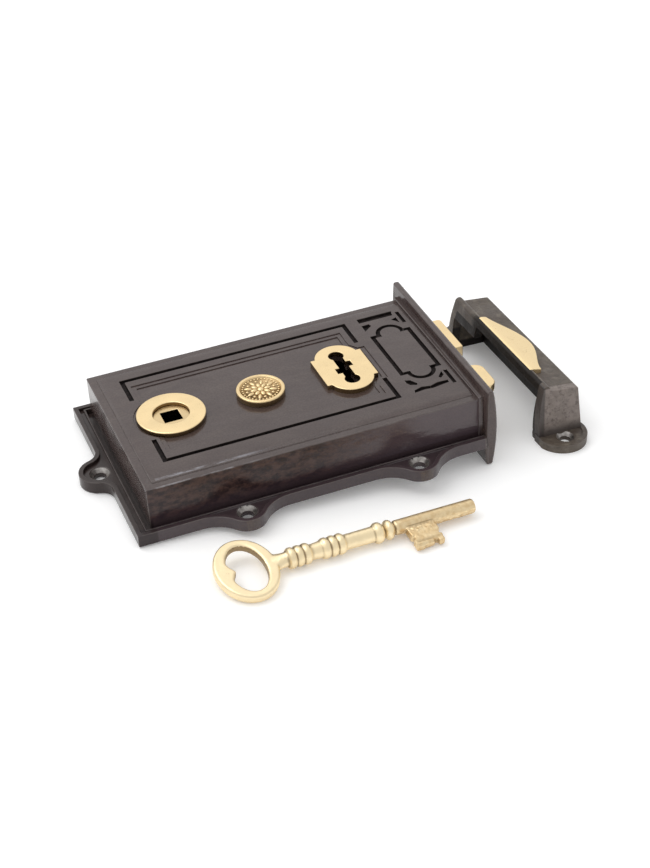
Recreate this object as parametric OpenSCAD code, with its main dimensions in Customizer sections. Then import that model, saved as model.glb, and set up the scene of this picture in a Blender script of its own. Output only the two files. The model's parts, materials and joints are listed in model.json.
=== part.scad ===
// Rim box lock with its box keep and its key, in millimetres.
// Origin: the spindle's axis on the lock's back plane. +X runs to the forend, +Z out of the lock's face.
// The keep and the key lie beside the lock on the surface that carries it.

/* [Case] */
// Spindle axis to the forend's inner face
backset = 126; // [115:0.5:160]
// Spindle axis to the outside of the rear wall
rear_set = 25.5; // [24:0.5:40]
// Width over the side walls
case_w = 90; // [86:0.5:120]
// Height of the face over the back plane
case_h = 24.2; // [22:0.1:32]
// Thickness of the side walls
wall_t = 3.5; // [2.5:0.1:4]
// Thickness of the face
face_t = 4; // [3:0.1:5]
// Width of the low border round the raised face
ledge_w = 3.6; // [2:0.1:5]
// Height of the raised face over its border
ledge_drop = 1; // [0.6:0.1:1.5]
// Width of the slope at the raised face's sides
face_slope = 3.2; // [1:0.1:5]

/* [Flange] */
// Thickness of the flange's rim
flange_t = 5.7; // [5:0.1:8]
// Width of the flange behind the rear wall
flange_rear = 7; // [6.5:0.1:12]
// Width of the flange beside the side walls
flange_side = 5.7; // [5.2:0.1:10]
// Width of the flat rim
rim_w = 2.1; // [1.5:0.1:2.4]
// Depth of the floor inside the rim
rim_drop = 1.6; // [0.5:0.1:2.5]
// Width of the bead beside the channel
bead_w = 0.9; // [0.5:0.1:1]
// Width of the channel at the foot of the walls
channel_w = 2; // [1:0.1:2]
// Depth of that channel
channel_drop = 3; // [1:0.1:4]

/* [Lugs] */
// Radius of the rear lug's ear
rear_lug_r = 9; // [7:0.1:11]
// Radius of a side lug's ear
side_lug_r = 8.5; // [7:0.1:11]
// Distance of the rear lug's hole from the flange's edge
rear_lug_out = 2; // [0:0.1:4]
// Distance of a side lug's hole from the flange's edge
side_lug_out = 1.3; // [0:0.1:4]
// Radius of the rear lug's shoulders
rear_lug_fillet = 6.2; // [2:0.1:8]
// Radius of the side lugs' shoulders
side_lug_fillet = 16.2; // [6:0.1:18]
// Spindle axis to the first pair of side lugs
lug_x_near = 14.5; // [10:0.5:30]
// Spindle axis to the second pair of side lugs
lug_x_far = 93; // [80:0.5:98]
// Bore of a fixing hole
fix_d = 5; // [4:0.1:6]
// Countersink of a fixing hole
fix_csk_d = 9; // [7:0.1:10]

/* [Forend] */
// Length of the forend across the lock
forend_l = 101; // [96:0.5:140]
// Thickness at its upper and lower edges
forend_t_edge = 2.9; // [2:0.1:4]
// Thickness at the middle of its bowed front
forend_t_mid = 4.8; // [4.2:0.1:7]
// Height over the face
forend_up = 5.2; // [2:0.1:6]
// Depth of the lip that laps over the door's edge
forend_lip = 9.3; // [5:0.1:12]

/* [Face ornament] */
// Offset of the ornament's middle from the spindle's line
ornament_shift = 2; // [-3:0.1:3]
// Depth of the grooves
ornament_d = 1.4; // [0.5:0.1:1.6]
// Width of the frame's groove
frame_groove = 2; // [1:0.1:3]
// Depth of the sunk panel that carries the brass pieces
panel_sink = 1; // [0.4:0.1:1.4]
// Width of the step round the sunk panel
panel_step = 2; // [0.8:0.1:2]
// Width of the groove round the end panel
panel_groove = 1.9; // [0.8:0.1:3.6]

/* [Spindle] */
// Square hole for the spindle
spindle = 8; // [6:0.1:9.6]
// Radius of the follower's journals
journal_r = 7.9; // [7:0.1:9]
// Radius of the follower's hub
hub_r = 10; // [9:0.1:11]
// Reach of the follower's horns
horn_r = 15; // [14:0.1:16]
// Half of a horn's width
horn_half = 4; // [3:0.1:4.5]
// Radius of the bush's rose
rose_r = 15.1; // [13:0.1:17]
// Thickness of the rose and of the escutcheon
rose_t = 2.4; // [1:0.1:3]

/* [Keyhole] */
// Forend's inner face to the keyhole's axis
keyhole_set = 45.6; // [40:0.1:50]
// Distance of the keyhole's round ends from the middle line
keyhole_end = 9.75; // [8:0.05:10]
// Radius of its round ends
keyhole_r = 3.4; // [3:0.05:4]
// Width of its slot
keyhole_slot = 4.5; // [3:0.1:5]
// Width across the notches at its middle
keyhole_notch = 8.6; // [6:0.1:10]
// Length of those notches
keyhole_notch_l = 4; // [2:0.1:4]
// Distance of each notch from the middle line
keyhole_notch_y = 2; // [0:0.1:3]

/* [Bolts] */
// Lower side of both bolts over the back plane
bolt_z = 4.5; // [3.5:0.1:6]
// Thickness of both bolts
bolt_t = 12.5; // [10:0.1:13]
// Width of the dead bolt
dead_w = 25.2; // [20:0.1:26]
// Distance of the dead bolt's outer edge from the side wall's outside
dead_in = 15.6; // [14:0.1:18]
// Distance that the dead bolt stands out of the forend's inner face
dead_out = 14.4; // [10:0.1:18]
// Throw of the dead bolt
dead_throw = 9.4; // [6:0.1:10]
// Width of the latch bolt
latch_w = 18.6; // [14:0.1:20]
// Distance of the latch bolt's outer edge from the side wall's outside
latch_in = 15; // [14:0.1:18]
// Distance that the latch bolt stands out of the forend's inner face
latch_out = 15.3; // [11:0.1:18]
// Travel of the latch bolt
latch_throw = 9.4; // [6:0.1:10]
// Wire of the latch spring
spring_wire = 0.9; // [0.6:0.1:1.2]
// Turns of the latch spring
spring_turns = 11; // [6:1:14]

/* [Back plate] */
// Thickness of the back plate
plate_t = 2; // [1.5:0.1:3]
// Diameter of the back plate's screws
plate_screw_d = 3.9; // [3:0.1:5]

/* [Keep] */
// Length of the keep's box at its top
keep_l = 85; // [75:0.5:110]
// Slope of the keep's end walls, as the distance that each foot stands out
keep_draft = 3; // [0:0.1:4]
// Depth of the keep's box at its foot
keep_d = 20; // [17:0.5:26]
// Depth of the keep's box at its top
keep_top_d = 17.4; // [15:0.1:24]
// Bow of the keep's front, towards the lock
keep_bow = 2.2; // [1:0.1:3]
// Height of the keep's striking edge
keep_h = 28; // [26:0.1:36]
// Height of the keep's top behind its striking edge
keep_top = 25.4; // [23.5:0.1:30]
// Fall of the keep's top to its back edge
keep_fall = 1.3; // [0.5:0.1:2]
// Thickness of the keep's roof
keep_roof = 3.4; // [3:0.1:5]
// Thickness of the keep's back wall
keep_wall = 4.2; // [2:0.1:6]
// Thickness of the keep's lugs
keep_lug_t = 4; // [3.4:0.1:7]
// Radius of the keep's lugs
keep_lug_r = 12; // [11:0.1:14]
// Distance of a keep's fixing hole from its end wall
keep_lug_out = 6.1; // [5.8:0.1:8]
// Countersink of a keep's fixing hole
keep_csk_d = 8; // [6:0.1:9]
// Length of the brass striking lip
lip_l = 49; // [44:0.1:54]
// Breadth of the brass striking lip
lip_w = 13; // [11:0.1:13.4]

/* [Key] */
// Length of the key
key_l = 116.5; // [108:0.5:140]
// Width of the key's bow
bow_w = 32.4; // [28:0.1:40]
// Length of the key's bow
bow_l = 26.2; // [24:0.1:34]
// Thickness of the key's bow
bow_t = 3.9; // [3:0.1:6]
// Diameter of the key's pin
key_pin_d = 6.4; // [4.5:0.1:6.6]
// Reach of the key's bit from the pin's axis
bit_reach = 14; // [13:0.1:16]
// Length of the key's bit along the pin
bit_l = 12.8; // [12:0.1:16.4]
// Thickness of the key's bit
bit_t = 3.6; // [2:0.1:4]

/* [Hidden] */
$fn = 64;
eps = 0.02;

// Clearances of parts that slide, turn, seat or lie beside each other
slide_gap = 0.3;
turn_gap = 0.1;
seat_gap = 0.05;

// Colours of the finishes
iron = [0.21, 0.18, 0.17];
keep_iron = [0.27, 0.25, 0.23];
brass = [0.86, 0.74, 0.50];
steel = [0.55, 0.56, 0.57];

// Places along the lock
rear_x = -rear_set;
rear_flange_x = rear_x - flange_rear;
rear_lug_x = rear_flange_x - rear_lug_out;
rear_end_x = rear_lug_x - rear_lug_r;
flange_half = case_w / 2 + flange_side;
side_lug_y = flange_half + side_lug_out;
face_end_x = backset - 2.7;
end_bead_x = backset - 1.8;
end_bead_out = 0.6;
lug_floor = flange_t - rim_drop;
ledge_h = case_h - ledge_drop;
cavity_top = case_h - face_t;
panel_z = case_h - panel_sink;
panel_t = panel_z - cavity_top;
cavity_x0 = rear_x + wall_t;
cavity_x1 = backset - wall_t + 0.5;
cavity_half = case_w / 2 - wall_t;
key_x = backset - keyhole_set;
key_y = -keyhole_end;
badge_x = key_x / 2 + 0.8;

// Surface that the lock lies on, through the rear lug's end and the forend's lip
lie_tilt = atan(forend_lip / (backset - rear_end_x));
keep_place = [backset - rear_end_x + 29.3, 0.6, 1.8];
key_place = [32.1, -case_w / 2 - 41.1, 3.2];

// Bolts
dead_y1 = case_w / 2 - dead_in;
dead_y0 = dead_y1 - dead_w;
latch_y0 = -case_w / 2 + latch_in;
latch_y1 = latch_y0 + latch_w;
bolt_top = bolt_z + bolt_t;
bolt_root_x = backset - 14;
tail_z = 9.2;
tail_t = 4;
tail_top = tail_z + tail_t;

// Latch tail: a rod behind the bolt and a yoke round the follower
rod_r = 1.9;
rod_y = key_y - bit_reach - 5.5;
rod_z = tail_z + tail_t / 2;
shoulder_t = 7;
shoulder_y = rod_y - rod_r - 1.6;
rod_in_head = shoulder_t - 1;
post_x = key_x - 21.5;
post_t = 5;
jog_x = key_x - 38;
jog_t = 9;
yoke_bar = 4.6;
yoke_y = horn_r + 0.9;
yoke_arm_x = -horn_half - slide_gap;
yoke_arm_t = 5;
yoke_cross_x = horn_r + latch_throw - 1;
yoke_cross_t = 5;
latch_slot_w = 4.3;
latch_stud_r = 2;
latch_stud_x = yoke_cross_x + 8;
latch_stud_y = -yoke_y - yoke_bar / 2 - 2.2;

// Dead bolt's tail, its stud and the notches of its spring
dead_tail_x = key_x - 30;
dead_tail_y0 = key_y + 11.6;
dead_tail_y1 = dead_y1 - 4.4;
talon_w = 12;
talon_top = key_y + bit_reach + 1.8;
dead_stud_r = 2.5;
dead_stud_x = key_x - 18;
dead_stud_y = (talon_top + dead_tail_y1) / 2;
nose_x = dead_stud_x + 4;
nose_half = 2.2;
nose_depth = 1.6;

// Seat of the dead bolt's flat spring
leaf_t = 0.8;
leaf_z = tail_z - 0.6;
leaf_w = 4.6;
leaf_seat_y = dead_tail_y1 + 9;
leaf_seat_x = nose_x - 30;
leaf_seat_l = 12;
leaf_rivet_r = 1.2;
leaf_rivet_l = 3.5;
leaf_rivets = [leaf_seat_x + 3, leaf_seat_x + 8.5];

// Back plate, its rebate and its screws
rebate = wall_t / 2;
boss_r = 3.7;
boss_y = cavity_half - 3;
screw_places = [for (x = [cavity_x0 + 5.5, backset - 21], s = [-1, 1]) [x, s * boss_y]];
screw_end = cavity_top - 6;
screw_bore = plate_screw_d + 2 * seat_gap;
screw_head = 3.6;
screw_head_t = 1.8;

// Bush, badge and escutcheon
spigot_r = 10.5;
follower_top = case_h - 0.3;
badge_r = 10.75;
badge_t = 3;
badge_spigot_r = 2;
plate_x = 24;
plate_y = 21;
plate_lobe_r = 10.2;
plate_lobe_y = 8;
plate_pin_r = 1;
plate_pin_x = plate_x / 2 - 3;
plate_pins = [-1, 1];

// Wards round the key's pin
ward_r = 9.2;
ward_t = 1.2;
ward_h = 2.6;
ward_gap = 4;

// Keep's parts: its x starts at the striking edge's side, its y at the box's middle
keep_face_t = 2.2;
keep_edge_r = 1.9;
keep_edge_x = 1.5;
keep_bow_z = 10;
keep_bow_r = pow(keep_h - keep_bow_z, 2) / (2 * keep_bow);
keep_inner_half = keep_l / 2 - 1.5;
keep_mouth_dead = bolt_top + 1.5;
keep_mouth_latch = keep_top - 1.2;
keep_mouth_step = 19.5;
keep_mouth_y0 = -keep_l / 2 + 4;
keep_mouth_y1 = keep_l / 2 - 2.5;
keep_lug_x = keep_d / 2 - 0.8;
keep_lug_y = keep_l / 2 + 2;
keep_lug_floor = keep_lug_t - 0.5;
keep_hole_x = keep_d / 2 - 0.7;
keep_hole_y = keep_l / 2 + keep_lug_out;
lip_x = 1.4;
lip_end_w = 3.8;
lip_widening = 2.1;
lip_seat = keep_top - 0.8;
lip_y1 = 22;
lip_y0 = lip_y1 - lip_l;
lip_rivet_r = 1.5;
lip_rivets = [for (share = [0.42, 0.66]) [lip_x + lip_w * 0.45, lip_y1 - share * lip_l]];

// Key's parts, by their distance from the bow's end
neck_r = 3.4;
flare_half = 6;
barrel_r = 3.3;
collar_r = 4.5;
first_beads = bow_l + 6.4;
first_pitch = 3.3;
second_beads = bow_l + 21.5;
second_pitch = 3.4;
ring_bead = bow_l + 45.5;
ball_bead = bow_l + 50.4;
ball_r = 4.3;
ball_half = 2.4;
bit_end = key_l - 20.3;
bit_start = bit_end - bit_l;
key_roll = asin((collar_r - bow_t / 2) / (bow_w / 2));

// Flange outline, moved in by a distance; lugs keep their centres, so the rim has an even width
module lug_outline(ear_r, out, fillet, inset) {
    half = sqrt(pow(ear_r + fillet, 2) - pow(out - fillet, 2));
    translate([0, out]) circle(ear_r - inset);
    difference() {
        polygon([[-half, -inset - 1], [half, -inset - 1], [half, fillet], [0, out], [-half, fillet]]);
        for (s = [-1, 1]) translate([s * half, fillet]) circle(fillet + inset);
    }
}

module flange_outline(inset) {
    translate([rear_flange_x + inset, -flange_half + inset])
        square([backset - rear_flange_x - inset + eps, 2 * (flange_half - inset)]);
    translate([rear_flange_x, 0]) rotate(90) lug_outline(rear_lug_r, rear_lug_out, rear_lug_fillet, inset);
    for (x = [lug_x_near, lug_x_far]) {
        translate([x, flange_half]) lug_outline(side_lug_r, side_lug_out, side_lug_fillet, inset);
        translate([x, -flange_half]) rotate(180)
            lug_outline(side_lug_r, side_lug_out, side_lug_fillet, inset);
    }
}

module wall_outline(grow) {
    translate([rear_x - grow, -case_w / 2 - grow])
        square([backset - rear_x + grow + eps, case_w + 2 * grow]);
}

module flange() {
    difference() {
        union() {
            difference() {
                linear_extrude(flange_t) flange_outline(0);
                translate([0, 0, lug_floor]) linear_extrude(flange_t) flange_outline(rim_w);
            }
            linear_extrude(flange_t - 0.4) wall_outline(channel_w + bead_w);
        }
        translate([0, 0, flange_t - channel_drop]) linear_extrude(flange_t) wall_outline(channel_w);
    }
}

module forend() {
    height = forend_lip + case_h + forend_up;
    rise = forend_t_mid - forend_t_edge;
    bow_r = pow(height / 2, 2) / (2 * rise) + rise / 2;
    intersection() {
        translate([backset, -forend_l / 2, -forend_lip]) cube([forend_t_mid + 1, forend_l, height]);
        translate([backset + forend_t_mid - bow_r, forend_l / 2 + 1, height / 2 - forend_lip])
            rotate([90, 0, 0]) cylinder(r = bow_r, h = forend_l + 2, $fn = 180);
    }
}

module fixing_hole(floor_z, csk_d) {
    csk_h = (csk_d - fix_d) / 2;
    translate([0, 0, -1]) cylinder(d = fix_d, h = floor_z + 2);
    translate([0, 0, floor_z - csk_h]) cylinder(d1 = fix_d, d2 = csk_d + 2 * eps, h = csk_h + eps);
}

module keyhole_outline(grow) {
    for (s = [-1, 1]) translate([0, s * keyhole_end]) circle(keyhole_r + grow);
    translate([-keyhole_slot / 2 - grow, -keyhole_end]) square([keyhole_slot + 2 * grow, 2 * keyhole_end]);
    for (s = [-1, 1]) translate([s * keyhole_notch / 4, s * keyhole_notch_y])
        square([keyhole_notch / 2 + 2 * grow, keyhole_notch_l + 2 * grow], center = true);
}

module frame_line(x0, x1, half, width) {
    difference() {
        translate([x0, -half]) square([x1 - x0, 2 * half]);
        translate([x0 + width, -half + width]) square([x1 - x0 - 2 * width, 2 * (half - width)]);
    }
}

// Outline of the escutcheon: a square plate with a round lobe at each end
module plate_outline(grow) {
    square([plate_x + 2 * grow, plate_y + 2 * grow], center = true);
    for (s = [-1, 1]) translate([0, s * plate_lobe_y]) circle(plate_lobe_r + grow);
}

// Raised end panel between the escutcheon and the forend, of a like outline
module end_panel(grow) {
    panel_w = 15.8;
    panel_half = 15.4;
    lobe_r = 4.7;
    lobe_y = 16.8;
    translate([-panel_w / 2 - grow, -panel_half - grow])
        square([panel_w + 2 * grow, 2 * (panel_half + grow)]);
    for (s = [-1, 1]) translate([0, s * lobe_y]) circle(lobe_r + grow);
}

// Pits past the end panel on the dead bolt's side, left between raised straps
module far_pits() {
    outer_y = case_w / 2 - 11.8;
    bar_y = outer_y - 3.4;
    left_x = -9.8;
    right_x = 7.4;
    leg_x = 8.7;
    leg_w = 1.6;
    leg_y = outer_y - 11.2;
    leg_l = 9.5;
    polygon([[left_x, outer_y], [right_x, outer_y], [right_x - 0.8, bar_y], [left_x, bar_y]]);
    translate([leg_x, leg_y]) square([leg_w, leg_l]);
    polygon([[right_x, leg_y + 0.8], [right_x, bar_y - 2.2], [right_x - 2.6, bar_y - 3.4]]);
    polygon([
        [left_x, leg_y + 0.4], [left_x, bar_y - 2.6], [left_x + 3.6, bar_y - 2.4], [left_x + 4.2, bar_y - 4]
    ]);
}

// Pits past its other end: two leaves, a bow-shaped bar and a leg
module near_pits() {
    outer_y = case_w / 2 - 13;
    leg_x = 8.7;
    leg_w = 1.6;
    leg_l = 10.6;
    bar_y = -outer_y;
    translate([leg_x, bar_y]) square([leg_w, leg_l]);
    translate([0, bar_y]) {
        polygon([[-9.8, 10.6], [-7.6, 9.8], [-5.6, 6.4], [-6.2, 5.2], [-9, 6.4], [-9.9, 8.4]]);
        polygon([[7.6, 10.4], [7.6, 7.6], [5.4, 5.8], [4.8, 6.8]]);
        polygon([
            [-9.4, 0.1], [-4.4, 0.6], [-1, 0.1], [3.4, 0.8], [7.2, 1.4], [7.4, 3.1], [2.6, 3.3], [-1.2, 2.1],
            [-5.2, 3.1], [-9, 1.8]
        ]);
    }
}

// Field that is sunk below the raised face, with ears round the rose and the escutcheon
module sunk_panel(grow) {
    half = case_w / 2 - 20.4;
    x0 = rear_x + 17.9;
    x1 = key_x + 7.4;
    ear = 1.2;
    translate([x0 - grow, ornament_shift - half - grow]) square([x1 - x0 + 2 * grow, 2 * (half + grow)]);
    circle(rose_r + slide_gap + grow / 2);
    translate([key_x, 0]) plate_outline(ear + grow);
}

module face_ornament() {
    frame_half = case_w / 2 - 12.3;
    frame_x0 = rear_x + 12.3;
    frame_x1 = key_x + 14.3;
    leg_y = rose_r + 0.7;
    panel_x = key_x + 30.4;
    difference() {
        frame_line(frame_x0, frame_x1, frame_half, frame_groove);
        for (x = [frame_x0, frame_x1 - frame_groove])
            translate([x - 1, -leg_y]) square([frame_groove + 2, 2 * leg_y]);
    }
    translate([panel_x, 0]) {
        difference() {
            end_panel(panel_groove);
            end_panel(0);
        }
        far_pits();
        near_pits();
    }
}

// Raised face, sloping at its sides and its rear end
module raised_face() {
    half = case_w / 2 - ledge_w;
    x0 = rear_x + ledge_w;
    foot = ledge_h + 0.3;
    intersection() {
        translate([x0, 0, 0]) rotate([90, 0, 90]) linear_extrude(face_end_x - x0) polygon([
            [-half, cavity_top], [half, cavity_top], [half, foot], [half - face_slope, case_h],
            [face_slope - half, case_h], [-half, foot]
        ]);
        translate([0, half, 0]) rotate([90, 0, 0]) linear_extrude(2 * half) polygon([
            [x0, cavity_top], [face_end_x, cavity_top], [face_end_x, case_h], [x0 + face_slope / 2, case_h],
            [x0, foot]
        ]);
    }
}

module bolt_mouth(y0, y1) {
    translate([cavity_x1 - 1, y0 - slide_gap, bolt_z - slide_gap])
        cube([wall_t + forend_t_mid + 3, y1 - y0 + 2 * slide_gap, bolt_t + 2 * slide_gap]);
}

module case_inside() {
    depth = cavity_top - plate_t + eps;
    for (p = screw_places) translate([p[0], p[1], plate_t]) cylinder(r = boss_r, h = depth);
    translate([post_x, rod_y - 4, tail_z - 4]) cube([post_t, 8, cavity_top - tail_z + 4 + eps]);
    translate([leaf_seat_x, leaf_seat_y, leaf_z - 0.4])
        cube([leaf_seat_l, cavity_half - leaf_seat_y + eps, cavity_top - leaf_z + 0.4 + eps]);
}

module case_holes() {
    translate([rear_lug_x, 0, 0]) fixing_hole(lug_floor, fix_csk_d);
    for (x = [lug_x_near, lug_x_far], s = [-1, 1])
        translate([x, s * side_lug_y, 0]) fixing_hole(lug_floor, fix_csk_d);
    translate([0, 0, cavity_top - 1]) cylinder(r = spigot_r + seat_gap, h = face_t + 2);
    translate([badge_x, 0, cavity_top - 1]) cylinder(r = badge_spigot_r + seat_gap, h = face_t + 2);
    translate([key_x, 0, cavity_top - 1]) {
        linear_extrude(face_t + 2) keyhole_outline(0.4);
        for (s = plate_pins)
            translate([s * plate_pin_x, 0, 0]) cylinder(r = plate_pin_r + seat_gap, h = face_t + 2);
    }
    for (p = screw_places)
        translate([p[0], p[1], plate_t - 1])
            cylinder(d = screw_bore, h = screw_end - plate_t + 1 + slide_gap);
    translate([post_x - 1, rod_y, rod_z]) rotate([0, 90, 0]) cylinder(r = rod_r + slide_gap, h = post_t + 2);
    for (x = leaf_rivets)
        translate([x, leaf_seat_y - 1, rod_z]) rotate([-90, 0, 0])
            cylinder(r = leaf_rivet_r + seat_gap, h = leaf_rivet_l + 1.5);
}

module case() {
    color(iron) difference() {
        union() {
            difference() {
                union() {
                    flange();
                    translate([rear_x, -case_w / 2, 0]) cube([backset - rear_x + eps, case_w, ledge_h]);
                }
                translate([cavity_x0, -cavity_half, -1])
                    cube([cavity_x1 - cavity_x0, 2 * cavity_half, cavity_top + 1]);
            }
            raised_face();
            translate([end_bead_x, -case_w / 2 - end_bead_out, 0])
                cube([backset - end_bead_x + eps, end_bead_out + wall_t, case_h]);
            translate([end_bead_x, case_w / 2 - wall_t, 0])
                cube([backset - end_bead_x + eps, end_bead_out + wall_t, case_h]);
            translate([end_bead_x, -case_w / 2, cavity_top])
                cube([backset - end_bead_x + eps, case_w, face_t]);
            forend();
            case_inside();
        }
        translate([cavity_x0 - rebate, -cavity_half - rebate, -1])
            cube([cavity_x1 - cavity_x0 + 2 * rebate, 2 * (cavity_half + rebate), plate_t + 1]);
        translate([0, ornament_shift, case_h - ornament_d]) linear_extrude(face_t) face_ornament();
        translate([0, 0, case_h - panel_sink / 2]) linear_extrude(face_t) sunk_panel(panel_step);
        translate([0, 0, panel_z]) linear_extrude(face_t) sunk_panel(0);
        bolt_mouth(dead_y0, dead_y1);
        bolt_mouth(latch_y0, latch_y1);
        case_holes();
    }
}

module back_plate() {
    inset = rebate - seat_gap * 2;
    color(steel) difference() {
        translate([cavity_x0 - inset, -cavity_half - inset, 0])
            cube([cavity_x1 - cavity_x0 + 2 * inset, 2 * (cavity_half + inset), plate_t]);
        translate([0, 0, -1]) cylinder(r = journal_r + turn_gap, h = plate_t + 2);
        translate([key_x, 0, -1]) linear_extrude(plate_t + 2) keyhole_outline(0.4);
        for (p = screw_places) translate([p[0], p[1], 0]) {
            translate([0, 0, -1]) cylinder(d = screw_bore, h = plate_t + 2);
            translate([0, 0, -eps])
                cylinder(d1 = screw_bore + screw_head, d2 = screw_bore, h = screw_head_t);
        }
    }
}

module back_plate_screws() {
    color(steel) for (p = screw_places) translate([p[0], p[1], 0]) difference() {
        union() {
            cylinder(d1 = plate_screw_d + screw_head, d2 = plate_screw_d, h = screw_head_t);
            cylinder(d = plate_screw_d, h = screw_end);
        }
        translate([-plate_screw_d, -0.5, -eps]) cube([2 * plate_screw_d, 1, 0.8]);
    }
}

module spindle_bush() {
    color(brass) translate([0, 0, panel_z]) rotate_extrude($fn = 96) polygon([
        [journal_r + turn_gap, -panel_t], [spigot_r, -panel_t], [spigot_r, 0], [rose_r, 0],
        [rose_r, rose_t - 0.6], [rose_r - 0.6, rose_t - 0.1], [rose_r - 1.6, rose_t],
        [journal_r + turn_gap + 0.4, rose_t - 0.2], [journal_r + turn_gap, rose_t - 0.6]
    ]);
}

// Badge with a plain rosette of round petals
module badge() {
    field = badge_t - 0.9;
    petals = 8;
    petal_ring = 5;
    petal_r = 1.9;
    color(brass) translate([badge_x, 0, panel_z]) {
        translate([0, 0, -panel_t]) cylinder(r = badge_spigot_r, h = panel_t + eps);
        rotate_extrude($fn = 96) polygon([
            [0, 0], [badge_r, 0], [badge_r, badge_t - 0.5], [badge_r - 0.5, badge_t],
            [badge_r - 1.2, badge_t], [badge_r - 1.8, field], [0, field]
        ]);
        intersection() {
            cylinder(r = badge_r, h = 2 * badge_t);
            union() {
                translate([0, 0, field - 1]) sphere(2.2);
                for (i = [0 : petals - 1]) rotate(i * 360 / petals)
                    translate([petal_ring, 0, field - 0.9]) sphere(petal_r);
            }
        }
    }
}

module escutcheon() {
    color(brass) translate([key_x, 0, panel_z]) {
        linear_extrude(rose_t) difference() {
            plate_outline(0);
            keyhole_outline(0);
        }
        for (s = plate_pins) translate([s * plate_pin_x, 0, -panel_t])
            cylinder(r = plate_pin_r, h = panel_t + eps);
    }
}

module follower() {
    hub_z0 = plate_t + slide_gap;
    hub_z1 = cavity_top - slide_gap;
    bottom = 0.3;
    color(brass) difference() {
        union() {
            translate([0, 0, bottom]) cylinder(r = journal_r, h = follower_top - bottom);
            translate([0, 0, hub_z0]) cylinder(r = hub_r, h = hub_z1 - hub_z0);
            intersection() {
                translate([-horn_half, -horn_r, tail_z]) cube([2 * horn_half, 2 * horn_r, tail_t]);
                translate([0, 0, tail_z - 1]) cylinder(r = horn_r, h = tail_t + 2);
            }
        }
        translate([-spindle / 2, -spindle / 2, 0]) cube([spindle, spindle, case_h + 1]);
    }
}

// Latch bolt: bevelled below, with round outer corners and a shoulder inside the case for its rod
module latch_bolt() {
    nose_r = 4.6;
    bevel_l = 9.5;
    tip_t = 2.4;
    x1 = backset + latch_out;
    color(brass) difference() {
        intersection() {
            translate([0, 0, bolt_z]) linear_extrude(bolt_t) {
                translate([bolt_root_x, latch_y0]) square([x1 - nose_r - bolt_root_x, latch_w]);
                translate([bolt_root_x, latch_y0 + nose_r])
                    square([x1 - bolt_root_x, latch_w - 2 * nose_r]);
                for (y = [latch_y0 + nose_r, latch_y1 - nose_r]) translate([x1 - nose_r, y]) circle(nose_r);
                translate([bolt_root_x, shoulder_y]) square([shoulder_t, latch_y1 - shoulder_y]);
            }
            translate([0, latch_y1 + 1, 0]) rotate([90, 0, 0])
                linear_extrude(latch_y1 - shoulder_y + 2) polygon([
                    [bolt_root_x - 1, bolt_z - 1], [x1 - bevel_l - 1, bolt_z - 1], [x1 - bevel_l, bolt_z],
                    [x1 + eps, bolt_top - tip_t], [x1 + eps, bolt_top + 1], [bolt_root_x - 1, bolt_top + 1]
                ]);
        }
        translate([bolt_root_x - 1, rod_y, rod_z]) rotate([0, 90, 0])
            cylinder(r = rod_r + seat_gap, h = rod_in_head + 1);
    }
}

module latch_tail() {
    arm_l = yoke_y + yoke_bar - horn_r + 4.5;
    yoke_l = yoke_cross_x + yoke_cross_t - yoke_arm_x + yoke_arm_t;
    slot_x1 = latch_stud_x + latch_throw + 0.2;
    color(steel) {
        translate([jog_x + 2, rod_y, rod_z]) rotate([0, 90, 0])
            cylinder(r = rod_r, h = bolt_root_x + rod_in_head - jog_x - 2.2);
        difference() {
            translate([0, 0, tail_z]) linear_extrude(tail_t) {
                for (s = [0, 1]) mirror([0, s]) translate([yoke_arm_x - yoke_arm_t, 0]) {
                    translate([0, yoke_y]) square([yoke_l, yoke_bar]);
                    translate([0, yoke_y + yoke_bar - arm_l]) square([yoke_arm_t, arm_l]);
                }
                translate([yoke_cross_x, -yoke_y - yoke_bar])
                    square([yoke_cross_t, 2 * (yoke_y + yoke_bar)]);
                translate([yoke_cross_x, latch_stud_y - 4.6])
                    square([jog_x + jog_t - yoke_cross_x, 4.6 - yoke_y - latch_stud_y]);
                translate([jog_x, rod_y - rod_r - 1]) square([jog_t, rod_r + 1 - yoke_y - rod_y]);
            }
            translate([0, 0, tail_z - 1]) linear_extrude(tail_t + 2) {
                for (x = [latch_stud_x, slot_x1]) translate([x, latch_stud_y]) circle(d = latch_slot_w);
                translate([latch_stud_x, latch_stud_y - latch_slot_w / 2])
                    square([slot_x1 - latch_stud_x, latch_slot_w]);
            }
        }
    }
}

// One tube along a helix, closed at both ends
module latch_spring() {
    coil_r = rod_r + 0.6 + spring_wire / 2;
    rings_per_turn = 8;
    sides = 6;
    x0 = post_x + post_t + slide_gap + spring_wire / 2;
    x1 = bolt_root_x - slide_gap - spring_wire / 2;
    rings = spring_turns * rings_per_turn;
    pitch = (x1 - x0) / spring_turns;
    echo(least_gap_between_turns = pitch - spring_wire);
    function ring_point(i, j) =
        let (a = 360 * i / rings_per_turn, b = 360 * j / sides, r = coil_r + spring_wire / 2 * cos(b))
        [x0 + pitch * i / rings_per_turn + spring_wire / 2 * sin(b), r * cos(a), r * sin(a)];
    points = [for (i = [0 : rings], j = [0 : sides - 1]) ring_point(i, j)];
    walls = [
        for (i = [0 : rings - 1], j = [0 : sides - 1])
            let (a = i * sides + j, b = i * sides + (j + 1) % sides, c = a + sides, d = b + sides)
            each [[a, b, c], [b, d, c]]
    ];
    first_cap = [for (j = [1 : sides - 2]) [0, j + 1, j]];
    last_cap = [for (j = [1 : sides - 2]) [rings * sides, rings * sides + j, rings * sides + j + 1]];
    color(steel) translate([0, rod_y, rod_z]) polyhedron(points, concat(walls, first_cap, last_cap));
}

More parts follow.
